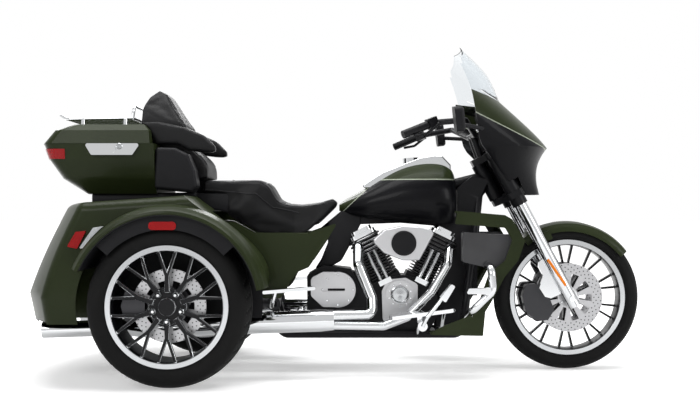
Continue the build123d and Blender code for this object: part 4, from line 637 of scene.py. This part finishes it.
def tyre_piece(node, axle, middle_y, radius, half, bead, seat):
    """A treaded tyre about an axle, in metres."""
    shoulder, tread = 0.955 * radius, 0.78 * half
    foot = bead + 0.013
    wall = (foot + shoulder) / 2 + 0.006
    right = arc_through((foot + 0.002, seat + 0.002), (wall, half), (shoulder, tread), 12)
    crown = arc_through((shoulder, tread), (radius, 0), (shoulder, -tread), 28)
    left = [(r, -w) for r, w in reversed(right)]
    inner = [(foot, -seat), (bead, -seat), (bead, seat), (foot, seat)]
    profile = right + crown[1:-1] + left + inner
    work = bmesh.new()
    rings = []
    for i in range(AROUND):
        turn = i / AROUND
        angle = math.tau * turn
        ring = []
        for j, (r, w) in enumerate(profile):
            if len(right) <= j < len(right) + len(crown) - 2:
                r -= TREAD_DEPTH * groove(turn, w / tread)
            elif abs(r - (foot + 0.016)) < 0.004:
                w += 0.0009 if w > 0 else -0.0009
            place = (axle[0] + r * math.cos(angle), middle_y + w, axle[1] + r * math.sin(angle))
            ring.append(work.verts.new(place))
        rings.append(ring)
    for i in range(AROUND):
        one, two = rings[i], rings[(i + 1) % AROUND]
        for j in range(len(profile)):
            k = (j + 1) % len(profile)
            work.faces.new((one[j], one[k], two[k], two[j]))
    bmesh.ops.recalc_face_normals(work, faces=work.faces)
    mesh = bpy.data.meshes.new(node)
    work.to_mesh(mesh)
    work.free()
    mesh.shade_smooth()
    mesh.set_sharp_from_angle(angle=math.radians(25))
    piece = new_piece(f"{node}_treaded", mesh, body_of(nodes[node])[0], rubber)
    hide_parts(node)
    return piece


# %% Three tyres
TYRES = (
    # node, axle, middle, radius, half width, bead radius, half seat
    ("front_tyre", FRONT_AXLE, 0.0, 0.3193, 0.065, 0.2413, 0.045),
    ("rear_tyre_right", REAR_AXLE, -REAR_WHEEL_Y, 0.3254, 0.1075, 0.2286, 0.090),
    ("rear_tyre_left", REAR_AXLE, REAR_WHEEL_Y, 0.3254, 0.1075, 0.2286, 0.090),
)
for row in TYRES:
    piece = tyre_piece(*row)
    print(piece.name, "faces", len(piece.data.polygons))

# %% [markdown]
# ## Cushions by cloth simulation
# Padded leather is tight over foam: its faces crown and its corners stay in. Each cushion starts as a slightly
# small closed form. It is remeshed evenly, blown up like a cloth balloon for twenty frames, held back where it
# would swell too far, and smoothed by one subdivision.


# %% A closed form from a side outline
def prism(points, low, high):
    """A closed mesh from an outline in X and Z, in millimetres, between two places on Y."""
    work = bmesh.new()
    near = [work.verts.new((x / 1000, low / 1000, z / 1000)) for x, z in points]
    far = [work.verts.new((x / 1000, high / 1000, z / 1000)) for x, z in points]
    work.faces.new(near)
    work.faces.new(list(reversed(far)))
    for i in range(len(points)):
        j = (i + 1) % len(points)
        work.faces.new((near[j], near[i], far[i], far[j]))
    bmesh.ops.recalc_face_normals(work, faces=work.faces)
    return work


def trimmed(work, place, normal):
    """Cuts a closed form by a plane, keeps the side behind it and caps the cut."""
    everything = work.verts[:] + work.edges[:] + work.faces[:]
    cut = bmesh.ops.bisect_plane(work, geom=everything, plane_co=place, plane_no=normal, clear_outer=True)
    rim = [e for e in cut["geom_cut"] if isinstance(e, bmesh.types.BMEdge)]
    bmesh.ops.contextual_create(work, geom=rim)


def to_mesh(work, name):
    """Ends the editing of a form and returns its mesh."""
    mesh = bpy.data.meshes.new(name)
    work.to_mesh(mesh)
    work.free()
    return mesh


# %% The cushion maker
CLOTH_FRAMES = 20
CLOTH_PRESSURE = 4.0


def baked(piece):
    """The piece's mesh with its modifiers in it, which are then taken off."""
    graph = bpy.context.evaluated_depsgraph_get()
    mesh = bpy.data.meshes.new_from_object(piece.evaluated_get(graph))
    piece.modifiers.clear()
    piece.data = mesh
    return mesh


def cushion(name, mesh, voxel, cap, held, body, node, shrink=0.004):
    """A padded piece. Points for which held is true stay put, and no other moves further than the cap."""
    piece = bpy.data.objects.new(name, mesh)
    bpy.context.scene.collection.objects.link(piece)
    remesh = piece.modifiers.new("remesh", "REMESH")
    remesh.mode = "VOXEL"
    remesh.voxel_size = voxel
    mesh = baked(piece)
    start = []
    for vertex in mesh.vertices:
        vertex.co -= vertex.normal * shrink
        start.append(vertex.co.copy())
    group = piece.vertex_groups.new(name="held")
    group.add([v.index for v in mesh.vertices if held(v.co)], 1.0, "REPLACE")
    cloth = piece.modifiers.new("cloth", "CLOTH")
    cloth.settings.use_pressure = True
    cloth.settings.uniform_pressure_force = CLOTH_PRESSURE
    cloth.settings.effector_weights.gravity = 0
    cloth.settings.quality = 4
    cloth.settings.vertex_group_mass = "held"
    cloth.point_cache.frame_start = 1
    cloth.point_cache.frame_end = CLOTH_FRAMES
    for frame_number in range(1, CLOTH_FRAMES + 1):
        bpy.context.scene.frame_set(frame_number)
    blown = baked(piece)
    for vertex, origin in zip(blown.vertices, start):
        move = vertex.co - origin
        if move.length > cap:
            vertex.co = origin + move.normalized() * cap
    bpy.context.scene.frame_set(1)
    piece.vertex_groups.clear()
    smooth = piece.modifiers.new("smooth", "SMOOTH")
    smooth.factor = 0.5
    smooth.iterations = 6
    finer = piece.modifiers.new("finer", "SUBSURF")
    finer.levels = 1
    finer.render_levels = 1
    mesh = baked(piece)
    mesh.shade_smooth()
    mesh.materials.clear()
    mesh.materials.append(seat_cover)
    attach(piece, body)
    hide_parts(node)
    return piece


# %% [markdown]
# ## The seat
# The seat keeps the form of its CAD node. Its base stays put and only the upper leather swells.

# %% The seat
seat = cushion("two_up_seat", merged_mesh("seat"), 0.008, 0.009, lambda p: p.z < 0.64, "chassis", "seat")
print("seat faces", len(seat.data.polygons))

# %% [markdown]
# ## The backrest and the armrests
# All three are outlines seen from the side, given a width. The back's upper corners are cut off by two leaning
# planes on each side before it swells.

# %% The backrest and the armrests
BACK_OUTLINE = [
    (-842, 985), (-842, 1140), (-818, 1203), (-782, 1236), (-745, 1213), (-695, 1130), (-655, 1066), (-634, 975),
    (-580, 930), (-552, 880), (-548, 836), (-600, 834), (-756, 834), (-756, 985),
]
ARM_OUTLINE = [
    (-826, 1080), (-760, 1084), (-645, 1061), (-560, 1026), (-509, 978), (-506, 953), (-530, 946), (-628, 948),
    (-673, 973), (-775, 978), (-809, 1044),
]
BACK_HALF = 180
BACK_CORNERS = (
    # a point of the cutting plane across and up, its normal across and up
    (0.181, 1.08, 0.9, 0.44),
    (0.138, 1.17, 0.8, 0.6),
)
form = prism(BACK_OUTLINE, -BACK_HALF, BACK_HALF)
for side in (-1, 1):
    for across, up, normal_across, normal_up in BACK_CORNERS:
        trimmed(form, (0, side * across, up), (0, side * normal_across, normal_up))
back = cushion("backrest_pad", to_mesh(form, "backrest_pad"), 0.008, 0.008, lambda p: p.x < -0.83 or p.z < 0.84,
               "chassis", "backrest")
arms = []
for name, low, high in (("armrest_right", -245, -191), ("armrest_left", 191, 245)):
    form = to_mesh(prism(ARM_OUTLINE, low, high), name)
    arms.append(cushion(name, form, 0.006, 0.005, lambda p: False, "chassis", "backrest", 0.003))
print("backrest faces", len(back.data.polygons), "armrests", len(arms))

# %% [markdown]
# ## Piping and sewn seams
# A seam on leather is a thin raised welt. Its route is drawn roughly in the air beside the cushion and each point
# is dropped to the nearest place on the leather, so that the welt follows every crown.


# %% Welts
def surface_of(piece):
    """A search tree of a piece's faces."""
    mesh = piece.data
    return BVHTree.FromPolygons([v.co for v in mesh.vertices], [p.vertices for p in mesh.polygons])


def welt(name, piece, route, radius=0.0026, spacing=0.012):
    """A raised seam along a route that is dropped to the cushion. The route is in metres."""
    tree = surface_of(piece)
    points = []
    for start, end in zip(route, route[1:]):
        start, end = Vector(start), Vector(end)
        count = max(1, round((end - start).length / spacing))
        points.extend(start.lerp(end, i / count) for i in range(count))
    points.append(Vector(route[-1]))
    curve = bpy.data.curves.new(name, "CURVE")
    curve.dimensions = "3D"
    curve.bevel_depth = radius
    curve.bevel_resolution = 2
    curve.use_fill_caps = True
    line = curve.splines.new("POLY")
    line.points.add(len(points) - 1)
    for point, place in zip(line.points, points):
        nearest = tree.find_nearest(place)[0]
        point.co = (*nearest, 1)
    temporary = bpy.data.objects.new(name, curve)
    bpy.context.scene.collection.objects.link(temporary)
    graph = bpy.context.evaluated_depsgraph_get()
    mesh = bpy.data.meshes.new_from_object(temporary.evaluated_get(graph))
    bpy.data.objects.remove(temporary)
    mesh.shade_smooth()
    return new_piece(name, mesh, "chassis", piping)


for side, label in ((-1, "right"), (1, "left")):
    welt(f"seat_edge_{label}", seat, [
        (-0.560, side * 0.168, 0.835), (-0.340, side * 0.178, 0.838), (-0.285, side * 0.172, 0.800),
        (-0.250, side * 0.170, 0.752), (-0.180, side * 0.162, 0.735), (-0.070, side * 0.115, 0.742),
        (-0.010, side * 0.078, 0.760),
    ])
    welt(f"seat_lower_{label}", seat, [
        (-0.565, side * 0.19, 0.785), (-0.345, side * 0.205, 0.775), (-0.270, side * 0.2, 0.715),
        (-0.150, side * 0.18, 0.690),
    ])
    welt(f"back_edge_{label}", back, [
        (-0.560, side * 0.150, 0.90), (-0.630, side * 0.155, 0.985), (-0.655, side * 0.15, 1.065),
        (-0.700, side * 0.13, 1.135), (-0.745, side * 0.085, 1.205),
    ])
welt("seat_step", seat, [(-0.300, -0.165, 0.815), (-0.298, 0, 0.825), (-0.300, 0.165, 0.815)])
welt("seat_bucket", seat, [(-0.215, -0.150, 0.735), (-0.212, 0, 0.735), (-0.215, 0.150, 0.735)])
welt("seat_passenger", seat, [(-0.450, -0.165, 0.835), (-0.450, 0.165, 0.835)])
welt("back_cross", back, [(-0.650, -0.145, 1.07), (-0.650, 0.145, 1.07)])
print("welts", 10)

# %% [markdown]
# ## What repeats: Geometry Nodes
# Bolts, lug caps, brake-disc holes and the marks on the dials are each one small shape repeated. A node tree
# takes points that know which way they face, sets the shape on each, and makes the copies real, so that the
# export keeps them.


# %% A tree that sets heads on points
def stud_tree():
    """Heads on points: a cone frustum stands on each point along the point's own direction."""
    tree = bpy.data.node_groups.new("studs", "GeometryNodeTree")
    face = tree.interface
    face.new_socket("Geometry", in_out="INPUT", socket_type="NodeSocketGeometry")
    radius = face.new_socket("Radius", in_out="INPUT", socket_type="NodeSocketFloat")
    crown = face.new_socket("Crown", in_out="INPUT", socket_type="NodeSocketFloat")
    height = face.new_socket("Height", in_out="INPUT", socket_type="NodeSocketFloat")
    sides = face.new_socket("Sides", in_out="INPUT", socket_type="NodeSocketInt")
    coat = face.new_socket("Material", in_out="INPUT", socket_type="NodeSocketMaterial")
    face.new_socket("Geometry", in_out="OUTPUT", socket_type="NodeSocketGeometry")
    entry = tree.nodes.new("NodeGroupInput")
    leave = tree.nodes.new("NodeGroupOutput")
    head = tree.nodes.new("GeometryNodeMeshCone")
    facing = tree.nodes.new("GeometryNodeInputNamedAttribute")
    facing.data_type = "FLOAT_VECTOR"
    facing.inputs["Name"].default_value = "facing"
    align = tree.nodes.new("FunctionNodeAlignRotationToVector")
    align.axis = "Z"
    place = tree.nodes.new("GeometryNodeInstanceOnPoints")
    real = tree.nodes.new("GeometryNodeRealizeInstances")
    paint = tree.nodes.new("GeometryNodeSetMaterial")
    wires = (
        (entry, "Sides", head, "Vertices"), (entry, "Crown", head, "Radius Top"),
        (entry, "Radius", head, "Radius Bottom"), (entry, "Height", head, "Depth"),
        (facing, "Attribute", align, "Vector"), (entry, "Geometry", place, "Points"),
        (head, "Mesh", place, "Instance"), (align, "Rotation", place, "Rotation"),
        (place, "Instances", real, "Geometry"), (real, "Geometry", paint, "Geometry"),
        (entry, "Material", paint, "Material"), (paint, "Geometry", leave, "Geometry"),
    )
    for source, output, target, name in wires:
        tree.links.new(source.outputs[output], target.inputs[name])
    return tree, (radius.identifier, crown.identifier, height.identifier, sides.identifier, coat.identifier)


STUDS, STUD_INPUTS = stud_tree()


def studs(name, body, spots, radius, height, material, crown=0.7, sides=12):
    """Heads on a list of (place, direction) spots, in metres."""
    mesh = bpy.data.meshes.new(name)
    mesh.from_pydata([tuple(place) for place, direction in spots], [], [])
    facing = mesh.attributes.new("facing", "FLOAT_VECTOR", "POINT")
    for i, (place, direction) in enumerate(spots):
        facing.data[i].vector = tuple(direction)
    piece = bpy.data.objects.new(name, mesh)
    bpy.context.scene.collection.objects.link(piece)
    modifier = piece.modifiers.new("studs", "NODES")
    modifier.node_group = STUDS
    for identifier, value in zip(STUD_INPUTS, (radius, crown * radius, height, sides, material)):
        modifier[identifier] = value
    mesh = baked(piece)
    mesh.set_sharp_from_angle(angle=math.radians(30))
    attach(piece, body)
    return piece


# %% Spots on a surface
surfaces = {}


def spot(node, x, z, side=-1, sink=0.0):
    """Where a line from the side first meets a node, and which way the surface faces there."""
    if node not in surfaces:
        surfaces[node] = surface_of(skins[node])
    start = Vector((x, side * 1.2, z))
    hit, normal = surfaces[node].ray_cast(start, Vector((0, -side, 0)))[:2]
    if hit is None:
        return None
    if normal.y * side < 0:
        normal = -normal
    return hit - normal * sink, normal


def ring_spots(node, centre, radius, count, side=-1, turn=0.0):
    """Spots in a ring on a node."""
    found = []
    for i in range(count):
        angle = math.tau * (i / count) + turn
        place = spot(node, centre[0] + radius * math.cos(angle), centre[1] + radius * math.sin(angle), side)
        if place:
            found.append(place)
    return found


# %% [markdown]
# ## Bolts
# Cover bolts stand in rings on the gear and cam covers, five hold each front disc, five caps close the lugs of
# each rear wheel, and four sit on the rocker covers on each side.

# %% Bolts
# Places on the engine's side in X and Z
GEAR_COVER = (0.005, 0.357)
CAM_COVER = (0.274, 0.336)
ROCKER_BOLTS = ((0.085, 0.615), (0.150, 0.650), (0.385, 0.650), (0.450, 0.615))
LUG_FACE = 0.092
LUG_CIRCLE = 0.057

bolts = []
for side in (-1, 1):
    label = "right" if side < 0 else "left"
    covers = ring_spots("engine_covers", GEAR_COVER, 0.066, 8, side) if side < 0 else []
    covers += ring_spots("engine_covers", CAM_COVER, 0.049, 10, side, 0.3)
    if covers:
        bolts.append(studs(f"cover_bolts_{label}", "chassis", covers, 0.0045, 0.004, chrome))
    disc = ring_spots("front_brake_discs", FRONT_AXLE, 0.034, 5, side)
    bolts.append(studs(f"disc_bolts_{label}", "front_wheel", disc, 0.006, 0.004, chrome, sides=6))
    face_y = side * (REAR_WHEEL_Y + LUG_FACE)
    lugs = []
    for i in range(5):
        angle = math.radians(54 + 72 * i)
        place = (REAR_AXLE[0] + LUG_CIRCLE * math.cos(angle), face_y, REAR_AXLE[1] + LUG_CIRCLE * math.sin(angle))
        lugs.append((place, (0, side, 0)))
    bolts.append(studs(f"lug_caps_{label}", f"rear_wheel_{label}", lugs, 0.0115, 0.009, chrome, 0.45, 16))
    heads = [s for s in (spot("rocker_covers", x, z, side) for x, z in ROCKER_BOLTS) if s]
    if heads:
        bolts.append(studs(f"rocker_bolts_{label}", "chassis", heads, 0.005, 0.004, chrome))
print("bolt groups", len(bolts))

# %% [markdown]
# ## Brake-disc holes
# The braking ring of a disc is drilled in staggered rows. The disc stays as it is and each hole is a short dark
# plug that ends a hair above both faces: painted shade that reads as a drilled hole and costs twelve faces.

# %% Drilled rows
# radius, holes, shift in shares of one step
DISC_ROWS = ((0.113, 30, 0.0), (0.123, 30, 0.5), (0.133, 30, 0.0), (0.143, 30, 0.5))
PLUG_PROUD = 0.0002
FRONT_DISC_Y = 0.0645
REAR_DISC_Y = 0.0275
DISC_THICKNESS = 0.005


def drilled(name, body, axle, middle_y, thickness):
    """Dark plugs through a disc about an axle, painted shade where the drilled holes are open."""
    spots = []
    for radius, count, shift in DISC_ROWS:
        for i in range(count):
            angle = math.tau * (i + shift) / count
            place = (axle[0] + radius * math.cos(angle), middle_y - thickness / 2 - PLUG_PROUD,
                     axle[1] + radius * math.sin(angle))
            spots.append((place, (0, 1, 0)))
    return studs(name, body, spots, 0.0026, thickness + 2 * PLUG_PROUD, painted_hole_shade, 1.0, 10)


for side, label in ((-1, "right"), (1, "left")):
    drilled(f"front_disc_holes_{label}", "front_wheel", FRONT_AXLE, side * FRONT_DISC_Y, DISC_THICKNESS)
    middle_y = side * (REAR_WHEEL_Y + REAR_DISC_Y)
    drilled(f"rear_disc_holes_{label}", f"rear_wheel_{label}", REAR_AXLE, middle_y, DISC_THICKNESS)
print("drilled discs", 4)

# %% [markdown]
# ## Dark fillers round the engine
# Behind a real engine of this kind sit black covers, boxes and wiring that leave hardly any daylight under the
# tank. They are rounded black mouldings here: an outline drawn from the side, given a width and a soft edge.

# %% Covers behind and under the engine
COVERS = (
    # name, outline in X and Z, half width
    ("seat_tank_cover", [(-40, 650), (20, 700), (110, 700), (104, 640), (64, 560), (20, 480), (-30, 452),
                         (-96, 446), (-70, 486), (-40, 560)], 62),
    ("tank_underside", [(20, 640), (50, 700), (300, 690), (520, 700), (556, 660), (540, 610), (470, 630),
                        (280, 646), (100, 640)], 56),
    ("front_electrics", [(430, 640), (520, 676), (606, 650), (598, 470), (570, 330), (540, 190), (430, 190),
                         (440, 330), (470, 480)], 68),
    ("box_base", [(-1040, 729), (-598, 757), (-598, 778), (-1040, 773)], 225),
    ("seat_base", [(-640, 720), (-500, 700), (-300, 640), (-280, 700), (-300, 776), (-640, 776)], 172),
    ("rear_case_cover", [(-60, 330), (20, 450), (120, 420), (190, 330), (180, 190), (-60, 190)], 60),
)


def moulded(name, body, outline, low, high, material, round_edge=0.008, segments=3):
    """A moulding from a side outline in millimetres, with rounded edges."""
    piece = new_piece(name, to_mesh(prism(outline, low, high), name), body, material)
    soft = piece.modifiers.new("soft_edge", "BEVEL")
    soft.width = round_edge
    soft.segments = segments
    soft.limit_method = "ANGLE"
    soft.angle_limit = math.radians(30)
    mesh = baked(piece)
    mesh.shade_smooth()
    mesh.set_sharp_from_angle(angle=math.radians(40))
    return piece


for name, outline, half in COVERS:
    moulded(name, "chassis", outline, -half, half, engine_black)
print("covers", len(COVERS))

# %% [markdown]
# ## Round trims
# The air cleaner carries a round black insert, the cam cover a raised ring, and the dials have bright rims. Each
# is a small profile turned about its own line, so one helper makes them all.


# %% A turned trim
def turned(name, body, centre, facing, profile, material, around=48):
    """A turned form. The profile is (radius, height) pairs in metres, along the facing direction."""
    facing = Vector(facing).normalized()
    frame_turn = facing.to_track_quat("Z", "Y").to_matrix()
    work = bmesh.new()
    rings = []
    for radius, height in profile:
        ring = []
        for i in range(around):
            angle = math.tau * i / around
            place = Vector((radius * math.cos(angle), radius * math.sin(angle), height))
            ring.append(work.verts.new(Vector(centre) + frame_turn @ place))
        rings.append(ring)
    for one, two in zip(rings, rings[1:]):
        for i in range(around):
            j = (i + 1) % around
            work.faces.new((one[i], one[j], two[j], two[i]))
    work.faces.new(list(reversed(rings[0])))
    work.faces.new(rings[-1])
    bmesh.ops.recalc_face_normals(work, faces=work.faces)
    mesh = to_mesh(work, name)
    mesh.shade_smooth()
    mesh.set_sharp_from_angle(angle=math.radians(35))
    return new_piece(name, mesh, body, material)


# Turned profiles are radius and height
INSERT = [
    (0.053, -0.004), (0.053, 0.003), (0.049, 0.0055), (0.046, 0.0035), (0.040, 0.0035), (0.012, 0.0055),
    (0.002, 0.006),
]
RING = [
    (0.040, -0.003), (0.040, 0.004), (0.036, 0.006), (0.032, 0.004), (0.030, 0.001), (0.010, 0.001),
    (0.004, 0.002),
]
AIR_CLEANER = (0.286, 0.562)
centre = spot("air_cleaner", *AIR_CLEANER)[0]
turned("air_cleaner_insert", "chassis", centre, (0, -1, 0), INSERT, black_plastic)
centre = spot("engine_covers", *CAM_COVER)[0]
turned("cam_cover_ring", "chassis", centre, (0, -1, 0), RING, polished)
# across, up, radius
DIALS = ((0.072, 1.098, 0.044), (-0.072, 1.098, 0.044), (0.158, 1.092, 0.027), (-0.158, 1.092, 0.027))
DIAL_FACING = Vector((-42, 0, 8)).normalized()
DASH_X = 0.640
DASH_TOP = 1.160
DASH_LEAN = 0.25
DIAL_PROUD = 0.012


def dial_centre(y, z):
    """The middle of a dial on the leaning dash, which goes forward as it goes down."""
    return Vector((DASH_X + (DASH_TOP - z) * DASH_LEAN - DIAL_PROUD, y, z))


for number, (y, z, radius) in enumerate(DIALS):
    centre = dial_centre(y, z)
    rim = [(radius, -0.004), (radius, 0.002), (radius - 0.002, 0.004), (radius - 0.004, 0.002),
           (radius - 0.005, 0.0006)]
    turned(f"dial_rim_{number}", "steering", centre, DIAL_FACING, rim, chrome)
    face = [(radius - 0.005, 0.0002), (radius - 0.005, 0.0008), (0.004, 0.0008), (0.003, 0.003), (0.0005, 0.003)]
    turned(f"dial_face_{number}", "steering", centre, DIAL_FACING, face, black_gloss)
print("dials", len(DIALS))

# %% [markdown]
# ## Scale marks
# Each dial has an arc of pale marks without figures.

# %% Scale marks on the dials
MARK_COUNT = 21
MARK_START = -40
MARK_STEP = 13
MARK_REACH = 0.78
for number, (y, z, radius) in enumerate(DIALS):
    centre = dial_centre(y, z) + DIAL_FACING * 0.0006
    turn = DIAL_FACING.to_track_quat("Z", "Y").to_matrix()
    marks = []
    for i in range(MARK_COUNT):
        angle = math.radians(MARK_START + MARK_STEP * i)
        place = Vector((MARK_REACH * radius * math.cos(angle), MARK_REACH * radius * math.sin(angle), 0))
        marks.append((centre + turn @ place, DIAL_FACING))
    studs(f"dial_marks_{number}", "steering", marks, 0.0011, 0.0012, pale_mark, 1.0, 6)
print("marks", len(DIALS) * MARK_COUNT)

# %% [markdown]
# ## Ribs on the gear cover
# The gear cover has ribs with a dark slot through them. They stand on the face that a ray from the side meets.


# %% Ribs on the gear cover
def bar(x, z, half_long, half_high):
    """A level bar's outline about a place, in millimetres."""
    return [(x - half_long, z - half_high), (x + half_long, z - half_high),
            (x + half_long, z + half_high), (x - half_long, z + half_high)]


# The heights, RIB_REACH and RIB_CIRCLE are in metres, and the rest is in millimetres.
RIB_HEIGHTS = (-0.036, -0.024, -0.012, 0.012, 0.024, 0.036)
RIB_REACH = 0.052
RIB_CIRCLE = 0.06
RIB_HALF = 2
RIB_PROUD = 3.5
SLOT_REACH = 44
SLOT_HALF = 5
SLOT_PROUD = 1.2
SUNK = 1
gear_centre = spot("engine_covers", *GEAR_COVER)[0]
gear_x = 1000 * gear_centre.x
face_y = 1000 * gear_centre.y
for row, height in enumerate(RIB_HEIGHTS):
    half = RIB_REACH * math.sqrt(1 - (height / RIB_CIRCLE) ** 2)
    outline = bar(gear_x, 1000 * (gear_centre.z + height), 1000 * half, RIB_HALF)
    moulded(f"gear_cover_rib_{row}", "chassis", outline, face_y - RIB_PROUD, face_y + SUNK, satin_alloy,
            0.0012, 2)
slot = bar(gear_x, 1000 * gear_centre.z, SLOT_REACH, SLOT_HALF)
moulded("gear_cover_slot", "chassis", slot, face_y - SLOT_PROUD, face_y + SUNK, black_plastic, 0.001, 2)

# %% [markdown]
# ## Reflectors and the lock
# An amber reflector lies along each fork leg, so its outline slants with the fork. The top box's latch has a
# round lock, which sits where a ray from the side meets it.

# %% Reflectors on the fork and the lock of the latch
# Outline in X and Z and places on Y, in millimetres
AMBER = [(905, 487), (915, 493), (994, 380), (984, 373)]
AMBER_INNER = 152
AMBER_OUTER = 156
for side in (-1, 1):
    low, high = sorted((side * AMBER_INNER, side * AMBER_OUTER))
    label = "right" if side < 0 else "left"
    moulded(f"fork_reflector_{label}", "steering", AMBER, low, high, amber_lens, 0.0015, 2)
lock = spot("box_latch", -0.900, 0.968)
if lock:
    LOCK = [(0.013, -0.003), (0.013, 0.002), (0.011, 0.0035), (0.007, 0.0035), (0.006, 0.0015), (0.002, 0.0015)]
    turned("latch_lock", "chassis", lock[0], (0, -1, 0), LOCK, polished)
print("reflectors", 2, "lock", bool(lock))
